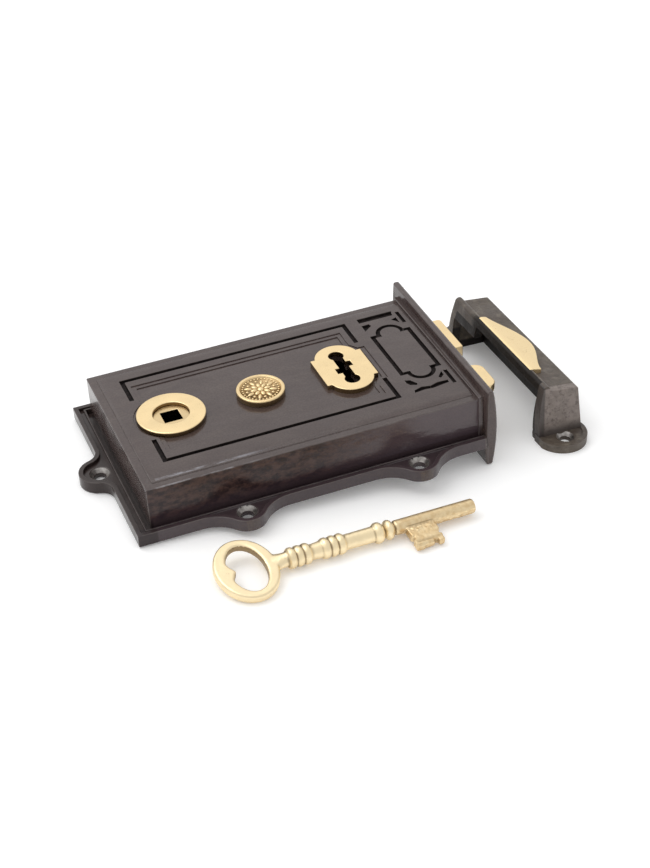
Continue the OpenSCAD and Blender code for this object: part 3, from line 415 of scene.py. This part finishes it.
def plain_steel(name, colour, metallic, roughness):
    """Plain inner steel, with a faint rolled grain."""
    finish = Finish(name, metallic=metallic)
    blots = finish.between(finish.noise(7, 5), 0.35, 0.7)
    finish.set("Base Color", finish.mix(blots, colour, tuple(0.7 * c for c in colour)))
    finish.set("Roughness", finish.between(finish.noise(2, 4, (0.2, 1, 1)), 0.3, 0.7, roughness, roughness + 0.15))
    finish.set("Normal", finish.bump(finish.noise(0.8, 3, (0.2, 1, 1)), 0.02))
    return finish.material


finishes = {
    "lacquered_iron": lacquered_iron(),
    "keep_iron": keep_iron(),
    "satin_brass": satin_brass(),
    "badge_brass": badge_brass(),
    "key_brass": key_brass(),
    "plate_steel": plain_steel("plate_steel", PLATE_STEEL, 0.0, 0.45),
    "bright_steel": plain_steel("bright_steel", BRIGHT_STEEL, 1.0, 0.3),
}
slot_of = {row["node"]: row["material_slot"] for row in frame["record"]["subparts"]}
body_of = {node: body for body, nodes in frame["record"]["behaviour"]["bodies"].items() for node in nodes}
for name, node in frame["nodes"].items():
    node.data.materials.clear()
    node.data.materials.append(finishes[slot_of[name]])


def add_piece(name, shape, node):
    """Makes a bmesh the piece that stands for a node, with the node's body and finish."""
    mesh = bpy.data.meshes.new(name)
    shape.to_mesh(mesh)
    shape.free()
    for face in mesh.polygons:
        face.use_smooth = True
    mesh.materials.append(finishes[slot_of[node]])
    piece = bpy.data.objects.new(name, mesh)
    bpy.context.scene.collection.objects.link(piece)
    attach(piece, body_of[node])
    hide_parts(node)
    return piece


# What counts as a sharp edge, a flat one and a short one (in mm)
SHARP = math.radians(28)
FLAT = math.radians(0.6)
SHORTEST_EDGE = 0.06


def rounded(node, name, widest, width_at, kind_at=None, others=(), edge_kind=-1):
    """Copy of a CAD piece whose outer edges are rounded; width_at gives each edge's width from its middle, in mm.

    kind_at gives the finish of a face from its lowest point, its normal and its middle: 0 for the node's own, or the
    place of another in others, counted from 1. edge_kind is the rounded edges' finish, or -1 for their faces'."""
    shape = bmesh.new()
    shape.from_mesh(frame["nodes"][node].data)
    bmesh.ops.remove_doubles(shape, verts=shape.verts, dist=SHORTEST_EDGE * MM)
    bmesh.ops.dissolve_limit(shape, angle_limit=FLAT, verts=shape.verts, edges=shape.edges)
    weight = shape.edges.layers.float.new("bevel_weight_edge")
    for edge in shape.edges:
        if len(edge.link_faces) != 2 or edge.calc_face_angle() < SHARP:
            continue
        if edge.is_convex:
            middle = (edge.verts[0].co + edge.verts[1].co) / 2 / MM
            edge[weight] = width_at(*middle) / widest
        edge.smooth = edge[weight] > 0
    if kind_at:
        for face in shape.faces:
            lowest = min(vert.co.z for vert in face.verts) / MM
            face.material_index = kind_at(lowest, face.normal, face.calc_center_median() / MM)
    piece = add_piece(name, shape, node)
    for other in others:
        piece.data.materials.append(other)
    bevel = piece.modifiers.new("rounded_edges", "BEVEL")
    bevel.limit_method = "WEIGHT"
    bevel.width = widest * MM
    bevel.segments = 3
    bevel.profile = 0.5
    bevel.material = edge_kind
    bevel.use_clamp_overlap = False
    bevel.loop_slide = False
    piece.modifiers.new("even_normals", "WEIGHTED_NORMAL").keep_sharp = True


# Zones of the case in mm: its hollow, the ornament on its face, and the thin web by the escutcheon's frame
FOREND_X, FACE_Z, FLANGE_Z = 125.5, 22.4, 6
HOLLOW_X, HOLLOW_HALF_Y, HOLLOW_Z = (-22, 123.2), 41.6, 20.5
ORNAMENT_X, ORNAMENT_HALF_Y, GROOVE_Z = (-17, 121.5), 36, (22.6, 23)
WEB_X, WEB_Y = (91.5, 96), (-33, -13)
LUG_HOLES = [Vector(place) for place in ((-34.5, 0), (14.5, 52), (93, 52), (14.5, -52), (93, -52))]
GROOVE, BARE, WORN = 1, 2, 3
FOREND_EDGE = 0.9


def on_ornament(x, y):
    return ORNAMENT_X[0] < x < ORNAMENT_X[1] and abs(y) < ORNAMENT_HALF_Y


def case_edge(x, y, z):
    """Width of the case's rounded edges; the hollow stays sharp, and the thin web has no room for rounding."""
    in_hollow = HOLLOW_X[0] < x < HOLLOW_X[1] and abs(y) < HOLLOW_HALF_Y and z < HOLLOW_Z
    on_web = z > FACE_Z and WEB_X[0] < x < WEB_X[1] and WEB_Y[0] < y < WEB_Y[1]
    if x > FOREND_X:
        return FOREND_EDGE
    if in_hollow or on_web:
        return 0
    if z > FACE_Z and on_ornament(x, y):
        return 0.2
    return 0.3 if z < FLANGE_Z else 0.45


def is_cone(normal):
    """Whether a face leans as a countersink's does."""
    return 0.4 < normal.z < 0.9


def case_kind(lowest, normal, middle):
    """The floors of the ornament's grooves and the countersinks of the lugs."""
    if GROOVE_Z[0] < lowest < GROOVE_Z[1] and on_ornament(middle.x, middle.y):
        return GROOVE
    if is_cone(normal) and middle.z < 5.8 and any((middle.xy - hole).length < 5 for hole in LUG_HOLES):
        return BARE
    return 0


# Places in the keep's own frame, in mm: its screw holes, foot and lugs, mouth, and the lip's seat, rivets and slope
KEEP_HOLE = Vector((9.3, 48.6))
KEEP_LUG_Z = 4.6
MOUTH_X, MOUTH_SIDE_Y = -1, (39, 41)
SEAT_X, SEAT_Y, SEAT_Z = (1, 15.5), (-28, 23), 23.5
LIP_RIVETS = [Vector(place) for place in ((7.25, 1.42), (7.25, -10.34))]
LIP_TOP, LIP_CREST, LIP_FALL = 28.02, 2.9, 0.2154
KEEP_EDGE, LIP_EDGE = 0.45, 0.3


def in_keep(place):
    """A place in mm, read in the keep's own frame."""
    return on_surface(KEEP_PLACE).inverted() @ (place * MM) / MM


def keep_kind(lowest, normal, middle):
    """The countersinks of the keep's lugs."""
    own = in_keep(middle)
    near_hole = (Vector((own.x, abs(own.y))) - KEEP_HOLE).length < 4.4
    return int(near_hole and own.z < 4 and is_cone(normal))


def keep_edge(x, y, z):
    """Rounds the keep's box, and leaves its foot, its lugs, the lip's seat and the mouth's far side sharp."""
    own = in_keep(Vector((x, y, z)))
    in_seat = own.z > SEAT_Z and SEAT_X[0] < own.x < SEAT_X[1] and SEAT_Y[0] < own.y < SEAT_Y[1]
    in_mouth = own.x < MOUTH_X and MOUTH_SIDE_Y[0] < own.y < MOUTH_SIDE_Y[1]
    return 0 if in_seat or in_mouth or own.z < KEEP_LUG_Z else KEEP_EDGE


def lip_edge(x, y, z):
    """Rounds the lip's outline and leaves its rivet holes sharp, so that the rivets sit flush."""
    own = in_keep(Vector((x, y, z)))
    return 0 if any((own.xy - rivet).length < 2 for rivet in LIP_RIVETS) else LIP_EDGE


bare = bare_iron()
case_finishes = (groove_shade_and_dust(), bare, lacquered_iron("worn_lacquer", 0.5))
rounded("case", "case_casting", FOREND_EDGE, case_edge, case_kind, case_finishes, WORN)
rounded("keep_case", "keep_casting", KEEP_EDGE, keep_edge, keep_kind, (bare,))
rounded("escutcheon", "escutcheon_plate", 0.3, lambda x, y, z: 0.3 if z > 23.4 else 0)
rounded("latch_bolt", "latch_bolt_head", 0.5, lambda x, y, z: 0.5)
rounded("dead_bolt", "dead_bolt_slab", 0.4, lambda x, y, z: 0.4 if x > 113 else 0)
rounded("follower", "follower_hub", 0.25, lambda x, y, z: 0.25)
rounded("back_plate", "back_plate_sheet", 0.3, lambda x, y, z: 0.3 if z < 0.1 else 0)
rounded("keep_lip", "keep_lip_plate", LIP_EDGE, lip_edge)
rounded("back_plate_screws", "back_plate_screw_heads", 0.15, lambda x, y, z: 0.15 if z < 1 else 0)


# Points closer than this, in metres, are one
SAME_PLACE = 1e-7


def flush_rivets():
    """The lip's rivets, with their heads filed down to the lip's slope."""
    lie = on_surface(KEEP_PLACE)
    shape = bmesh.new()
    shape.from_mesh(frame["nodes"]["keep_lip_rivets"].data)
    bmesh.ops.remove_doubles(shape, verts=shape.verts, dist=SAME_PLACE)
    bmesh.ops.transform(shape, matrix=lie.inverted(), verts=shape.verts)
    middle = sum(vert.co.z for vert in shape.verts) / len(shape.verts)
    for vert in shape.verts:
        if vert.co.z > middle:
            vert.co.z = (LIP_TOP - LIP_FALL * (vert.co.x / MM - LIP_CREST)) * MM
    bmesh.ops.transform(shape, matrix=lie, verts=shape.verts)
    piece = add_piece("flush_rivets", shape, "keep_lip_rivets")
    for face in piece.data.polygons:
        face.use_smooth = False


def turned(profile, axis, steps):
    """Closed shape that a profile of (along, radius) points in mm gives when it is turned about an axis."""
    shape = bmesh.new()
    along = Vector(axis)
    out = Vector((0, 1, 0)) if along.x else Vector((1, 0, 0))
    ring = [shape.verts.new((along * a + out * r) * MM) for a, r in profile]
    edges = [shape.edges.new(pair) for pair in zip(ring, ring[1:])]
    bmesh.ops.spin(shape, geom=ring + edges, cent=(0, 0, 0), axis=along, angle=math.tau, steps=steps, use_merge=True)
    bmesh.ops.remove_doubles(shape, verts=shape.verts, dist=SAME_PLACE)
    bmesh.ops.recalc_face_normals(shape, faces=shape.faces)
    return shape


def arc(middle, radius, start, end, steps):
    """Points of an arc in the profile's plane, from one angle to another in degrees."""
    angles = [math.radians(start + (end - start) * i / steps) for i in range(steps + 1)]
    return [(middle[0] + radius[0] * math.sin(a), middle[1] + radius[1] * math.cos(a)) for a in angles]


def joined(*shapes):
    """One bmesh that holds several."""
    whole = bmesh.new()
    for shape in shapes:
        mesh = bpy.data.meshes.new("passing")
        shape.to_mesh(mesh)
        shape.free()
        whole.from_mesh(mesh)
        bpy.data.meshes.remove(mesh)
    return whole


def corners(node):
    """Lowest and highest corner of a CAD piece, in mm."""
    low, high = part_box(node)
    return Vector(low) / MM, Vector(high) / MM


def bush_rose():
    """The brass rose: a flat ring with a soft outer edge and a bore that falls into the case."""
    low, high = corners("spindle_bush")
    outer = (high.x - low.x) / 2
    top, bore, spigot = high.z, 8.0, 10.5
    seat = top - 2.4
    profile = [(low.z, bore), (low.z, spigot), (seat, spigot), (seat, outer - 0.1), (seat + 0.2, outer)]
    profile += arc((top - 0.5, outer - 0.6), (0.5, 0.6), 0, 90, 6)
    profile += [(top - 0.02, (outer + bore) / 2)]
    profile += arc((top - 0.42, bore + 0.4), (0.4, -0.4), 90, 0, 5)
    profile += [(low.z, bore)]
    add_piece("bush_rose", turned(profile, (0, 0, 1), 128), "spindle_bush")


def placed_ball(where, size, turn):
    """A ball stretched to three half widths, set at a place in mm and then turned about the middle."""
    ball = bmesh.new()
    bmesh.ops.create_uvsphere(ball, u_segments=24, v_segments=14, radius=1)
    bmesh.ops.scale(ball, vec=Vector(size) * MM, verts=ball.verts)
    place = Matrix.Rotation(turn, 4, "Z") @ Matrix.Translation(Vector(where) * MM)
    bmesh.ops.transform(ball, matrix=place, verts=ball.verts)
    return ball


def badge_rosette():
    """The round badge: a raised rim, a ring of beads, pointed leaves and a flower of round petals."""
    low, high = corners("badge")
    outer = (high.x - low.x) / 2
    middle = Vector(((high.x + low.x) / 2, 0, 0))
    seat, field, rim = 23.2, 25.3, 26.2
    profile = [(low.z, 0), (low.z, 2), (seat, 2), (seat, outer - 0.1), (seat + 0.1, outer), (rim - 0.6, outer)]
    profile += arc((rim - 0.6, outer - 0.6), (0.6, 0.6), 0, 90, 5)
    profile += arc((rim - 0.4, outer - 1.3), (0.4, -0.4), 90, 0, 4)
    profile += [(field, outer - 2.0), (field + 0.1, 0)]
    parts = [turned(profile, (0, 0, 1), 96), placed_ball((0, 0, field), (1.5, 1.5, 0.95), 0)]
    for i in range(8):
        turn = math.tau * i / 8
        parts.append(placed_ball((3.1, 0, field), (1.55, 0.98, 0.8), turn))
        parts.append(placed_ball((5.5, 0, field - 0.1), (1.9, 0.85, 0.85), turn + math.tau / 16))
        parts.append(placed_ball((6.1, 0, field - 0.1), (0.7, 0.7, 0.7), turn))
    for i in range(32):
        parts.append(placed_ball((7.95, 0, field), (0.5, 0.5, 0.5), math.tau * i / 32))
    shape = joined(*parts)
    bmesh.ops.translate(shape, vec=middle * MM, verts=shape.verts)
    add_piece("badge_rosette", shape, "badge")


def coil_spring():
    """The latch's spring, a round wire wound about the rod; in the lock it shortens as the latch is drawn, but here
    it is built at one length.
    """
    low, high = corners("latch_spring")
    wire, turns, steps_a_turn = 0.45, 11, 24
    coil = (high.y - low.y) / 2 - wire
    rod_y, rod_z = (low.y + high.y) / 2, (low.z + high.z) / 2
    shape = bmesh.new()
    ring = bmesh.ops.create_circle(shape, cap_ends=False, segments=10, radius=wire * MM)["verts"]
    place = Matrix.Translation(Vector((low.x + wire, rod_y + coil, rod_z)) * MM)
    bmesh.ops.transform(shape, matrix=place, verts=ring)
    steps = turns * steps_a_turn
    rise = (high.x - low.x - 2 * wire) / steps
    bmesh.ops.spin(shape, geom=shape.verts[:] + shape.edges[:], cent=(0, rod_y * MM, rod_z * MM), axis=(1, 0, 0),
                   dvec=(rise * MM, 0, 0), angle=math.tau * turns, steps=steps)
    bmesh.ops.holes_fill(shape, edges=[e for e in shape.edges if e.is_boundary], sides=0)
    bmesh.ops.recalc_face_normals(shape, faces=shape.faces)
    piece = add_piece("coil_spring", shape, "latch_spring")
    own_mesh(piece)


# The key in mm, along x from its tail: bow, the bow's hole and the cusp in it, shank and bit
KEY_LENGTH, BOW_LENGTH, BOW_WIDTH, BOW_THICK = 116.5, 26.2, 32.4, 3.9
HOLE_X, HOLE_HALF_L, HOLE_HALF_W = 13.4, 7.8, 12.4
CUSP_DEPTH, CUSP_HALF_W = 3.4, 5.5
COLLAR_R, NECK_R, BARREL_R, PIN_R = 4.5, 3.2, 3.3, 3.2
BIT_END, BIT_LENGTH = 96.2, 12.8
KEY_ROLL = math.asin((COLLAR_R - BOW_THICK / 2) / (BOW_WIDTH / 2))


def key_bow():
    """The bow: a flat oval ring, wide at its tail, whose hole has a cusp there."""
    shape = bmesh.new()
    rings = []
    outline, hole = (BOW_LENGTH / 2, BOW_WIDTH / 2, BOW_LENGTH / 2), (HOLE_HALF_L, HOLE_HALF_W, HOLE_X)
    for half_l, half_w, middle in (outline, hole):
        ring = bmesh.ops.create_circle(shape, cap_ends=False, segments=96, radius=1)["verts"]
        bmesh.ops.scale(shape, vec=(half_l, half_w, 1), verts=ring)
        bmesh.ops.translate(shape, vec=(middle, 0, 0), verts=ring)
        rings.append(ring)
    for vert in rings[1]:
        if vert.co.x < HOLE_X:
            vert.co.x += CUSP_DEPTH * max(0, 1 - abs(vert.co.y) / CUSP_HALF_W) ** 1.5
    bmesh.ops.bridge_loops(shape, edges=shape.edges[:])
    bmesh.ops.recalc_face_normals(shape, faces=shape.faces)
    lifted = bmesh.ops.extrude_face_region(shape, geom=shape.faces[:])["geom"]
    lifted_verts = [part for part in lifted if isinstance(part, bmesh.types.BMVert)]
    bmesh.ops.translate(shape, vec=(0, 0, BOW_THICK), verts=lifted_verts)
    bmesh.ops.translate(shape, vec=(0, 0, -BOW_THICK / 2), verts=shape.verts)
    bmesh.ops.recalc_face_normals(shape, faces=shape.faces)
    rims = [edge for edge in shape.edges if edge.calc_face_angle(0) > 1]
    bmesh.ops.bevel(shape, geom=rims, offset=1.0, affect="EDGES", segments=4, profile=0.5, material=-1)
    bmesh.ops.scale(shape, vec=(MM, MM, MM), verts=shape.verts)
    return shape


def block(low, high):
    """A box between two corners in mm."""
    shape = bmesh.new()
    low, high = Vector(low), Vector(high)
    bmesh.ops.create_cube(shape, size=1)
    bmesh.ops.translate(shape, vec=(0.5, 0, 0), verts=shape.verts)
    bmesh.ops.scale(shape, vec=(high - low) * MM, verts=shape.verts)
    middle = (low + high) / 2
    bmesh.ops.translate(shape, vec=Vector((low.x, middle.y, middle.z)) * MM, verts=shape.verts)
    return shape


def key_neck():
    """The bow's fillet into the shank: wide and flat at the bow, round at the first bead."""
    start, length, steps = BOW_LENGTH - 5, 10.2, 14

    def half_width(share):
        return NECK_R + 5.0 * (1 - share) ** 2.4

    profile = [(start, 0)] + [(start + length * i / steps, half_width(i / steps)) for i in range(steps + 1)]
    shape = turned(profile + [(start + length, 0)], (1, 0, 0), 48)
    for vert in shape.verts:
        share = min(1, max(0, (vert.co.x / MM - start) / length))
        vert.co.z *= (1.75 + 1.45 * share ** 1.5) / half_width(share)
    return shape


def key_shank():
    """The turned shank: two groups of three beads, barrel, ring, ball and pin."""
    bead = 1.0
    profile = [(BOW_LENGTH + 3, 0), (BOW_LENGTH + 3, NECK_R - 0.4), (BOW_LENGTH + 4.6, NECK_R)]
    for start, pitch in ((BOW_LENGTH + 6.4, 3.3), (BOW_LENGTH + 21.5, 3.4)):
        for i in range(3):
            profile += arc((start + i * pitch, COLLAR_R - bead), (0.49 * pitch, bead), -82, 82, 10)
        profile += [(start + 2.75 * pitch, BARREL_R)]
    profile += arc((BOW_LENGTH + 45.5, COLLAR_R - 1.3), (2.0, 1.3), -82, 82, 10)
    profile += arc((BOW_LENGTH + 50.4, 0), (2.6, 4.3), -66, 60, 10)
    profile += [(BOW_LENGTH + 53.4, PIN_R), (KEY_LENGTH - 0.5, PIN_R), (KEY_LENGTH, PIN_R - 0.5), (KEY_LENGTH, 0)]
    return turned(profile, (1, 0, 0), 64)


def key_bit():
    """The bit's blocks: a terrace by the pin, shallow ward slots, a ridge, a groove and the feet with their notch."""
    start, end = BIT_END - BIT_LENGTH, BIT_END
    half, slot = 1.8, 0.9
    return [
        block((start, -4.6, -half), (end, -1.0, half - 0.15)),
        block((start, -8.3, -half), (end, -4.4, half)),
        block((start + slot, -10.4, -half), (end - slot, -8.0, half - 0.1)),
        block((start, -11.0, -half), (end, -10.2, half)),
        block((start, -12.3, -half), (end, -10.9, 1.35)),
        block((start, -12.9, -half), (end - 4.6, -12.1, 1.6)),
        block((start, -14.0, -half), (start + 3.6, -12.7, 1.1)),
        block((start + 3.4, -13.5, -half), (end - 4.6, -12.7, 0.8)),
        block((end - 2.6, -14.0, -half), (end, -12.1, 1.4)),
    ]


# How far below its neighbours a point is fully hollow, in mm
FULL_HOLLOW = 0.02


def hollowness(shape, rounds):
    """How far each point lies below its neighbours, spread over some rounds, as the attribute hollow."""
    layer = shape.verts.layers.float.new("hollow")
    for vert in shape.verts:
        around = [edge.other_vert(vert).co for edge in vert.link_edges]
        middle = sum(around, Vector()) / len(around)
        vert[layer] = max(0, (middle - vert.co).dot(vert.normal)) / (FULL_HOLLOW * MM)
    for _ in range(rounds):
        for vert in shape.verts:
            around = [edge.other_vert(vert)[layer] for edge in vert.link_edges]
            vert[layer] = 0.4 * vert[layer] + 0.6 * sum(around) / len(around)
    return layer


# Grain of the fused key's skin, in mm
VOXEL = 0.32


def fused(whole):
    """The shapes in a bmesh as one skin, softened as a casting is."""
    mesh = bpy.data.meshes.new("key_parts")
    whole.to_mesh(mesh)
    whole.free()
    parts = bpy.data.objects.new("key_parts", mesh)
    bpy.context.scene.collection.objects.link(parts)
    fuse = parts.modifiers.new("fused", "REMESH")
    fuse.mode = "VOXEL"
    fuse.voxel_size = VOXEL * MM
    soft = parts.modifiers.new("softened", "SMOOTH")
    soft.factor = 0.5
    soft.iterations = 6
    skin = bpy.data.meshes.new_from_object(parts.evaluated_get(bpy.context.evaluated_depsgraph_get()))
    bpy.data.objects.remove(parts)
    bpy.data.meshes.remove(mesh)
    shape = bmesh.new()
    shape.from_mesh(skin)
    bpy.data.meshes.remove(skin)
    return shape


# How rough the casting is, in mm: on the bit by the pin, on the rest of the bit and elsewhere
ROUGH_ROOT, ROUGH_BIT, ROUGH_SHANK = 0.32, 0.14, 0.04


def cast_key():
    """The key: its parts fused, roughened on the bit, with its worn and hollow places marked for the finish."""
    shape = fused(joined(key_bow(), key_neck(), key_shank(), *key_bit()))
    hollow = hollowness(shape, 5)
    worn = shape.verts.layers.float.new("worn")
    for vert in shape.verts:
        place = vert.co / MM
        vert[worn] = min(1, max(0, (place.x - BOW_LENGTH - 52.2) / 2))
        on_bit = place.x > BIT_END - BIT_LENGTH - 2 and place.y < -2.6
        depth = (ROUGH_ROOT if place.y > -6 else ROUGH_BIT) if on_bit else ROUGH_SHANK
        vert.co += vert.normal * depth * MM * noise.fractal(place * 0.9, 0.6, 2, 3)
        if on_bit:
            vert[hollow] *= 0.45
        in_hole = ((place.x - HOLE_X) / HOLE_HALF_L) ** 2 + (place.y / HOLE_HALF_W) ** 2 < 1.12
        if in_hole and place.x < BOW_LENGTH and abs(vert.normal.z) < 0.5:
            vert[hollow] = 0.5
    lie = on_surface(KEY_PLACE) @ Matrix.Translation((0, 0, (COLLAR_R + 0.05) * MM))
    bmesh.ops.transform(shape, matrix=lie @ Matrix.Rotation(KEY_ROLL, 4, "X"), verts=shape.verts)
    add_piece("cast_key", shape, "key")


flush_rivets()
bush_rose()
badge_rosette()
coil_spring()
cast_key()


# Light that the paper adds where the camera or the metal sees it
PAPER_LIFT = 0.14


def pale_floor():
    """Matt white paper; what the camera and the metal see of it is lifted to white, and the shadow stays."""
    material = bpy.data.materials.new("pale_floor")
    material.use_nodes = True
    nodes, links = material.node_tree.nodes, material.node_tree.links
    shader = nodes["Principled BSDF"]
    shader.inputs["Base Color"].default_value = (0.95, 0.95, 0.95, 1)
    shader.inputs["Roughness"].default_value = 0.95
    shader.inputs["Specular IOR Level"].default_value = 0
    path = nodes.new("ShaderNodeLightPath")
    seen = nodes.new("ShaderNodeMath")
    seen.operation = "MAXIMUM"
    links.new(path.outputs["Is Camera Ray"], seen.inputs[0])
    links.new(path.outputs["Is Glossy Ray"], seen.inputs[1])
    lift = nodes.new("ShaderNodeMath")
    lift.operation = "MULTIPLY"
    lift.inputs[1].default_value = PAPER_LIFT
    links.new(seen.outputs[0], lift.inputs[0])
    shader.inputs["Emission Color"].default_value = (1, 1, 1, 1)
    links.new(lift.outputs[0], shader.inputs["Emission Strength"])
    return material


def add_floor():
    mesh = bpy.data.meshes.new("floor")
    shape = bmesh.new()
    bmesh.ops.create_grid(shape, x_segments=1, y_segments=1, size=3)
    shape.to_mesh(mesh)
    shape.free()
    floor = bpy.data.objects.new("floor", mesh)
    bpy.context.scene.collection.objects.link(floor)
    floor.matrix_world = Matrix.Translation(Vector((REAR_END_X, 0, 0)) * MM) @ SURFACE
    mesh.materials.append(pale_floor())


# Where the lamps are aimed, in mm
LOCK_MIDDLE = Vector((45, 0, 10))


def add_lamp(name, place, size, watts):
    """A soft box at a place in mm, of a size in metres, aimed at the lock."""
    data = bpy.data.lights.new(name, "AREA")
    data.shape = "RECTANGLE"
    data.size, data.size_y = size
    data.energy = watts
    lamp = bpy.data.objects.new(name, data)
    bpy.context.scene.collection.objects.link(lamp)
    lamp.location = Vector(place) * MM
    lamp.rotation_euler = (LOCK_MIDDLE * MM - lamp.location).to_track_quat("-Z", "Y").to_euler()


def add_light():
    world = bpy.data.worlds.new("studio")
    bpy.context.scene.world = world
    world.use_nodes = True
    nodes, links = world.node_tree.nodes, world.node_tree.links
    path = nodes.new("ShaderNodeLightPath")
    strength = nodes.new("ShaderNodeMapRange")
    strength.inputs["To Min"].default_value = 0.8
    strength.inputs["To Max"].default_value = 1.0
    links.new(path.outputs["Is Camera Ray"], strength.inputs["Value"])
    background = nodes["Background"]
    background.inputs["Color"].default_value = (1, 1, 1, 1)
    links.new(strength.outputs[0], background.inputs["Strength"])
    add_lamp("soft_box", (-350, 250, 950), (0.8, 0.8), 3.6)
    add_lamp("back_screen", (100, 650, 850), (1.8, 1.2), 1.9)
    bpy.context.scene.view_settings.view_transform = "Standard"


add_camera()
add_floor()
add_light()
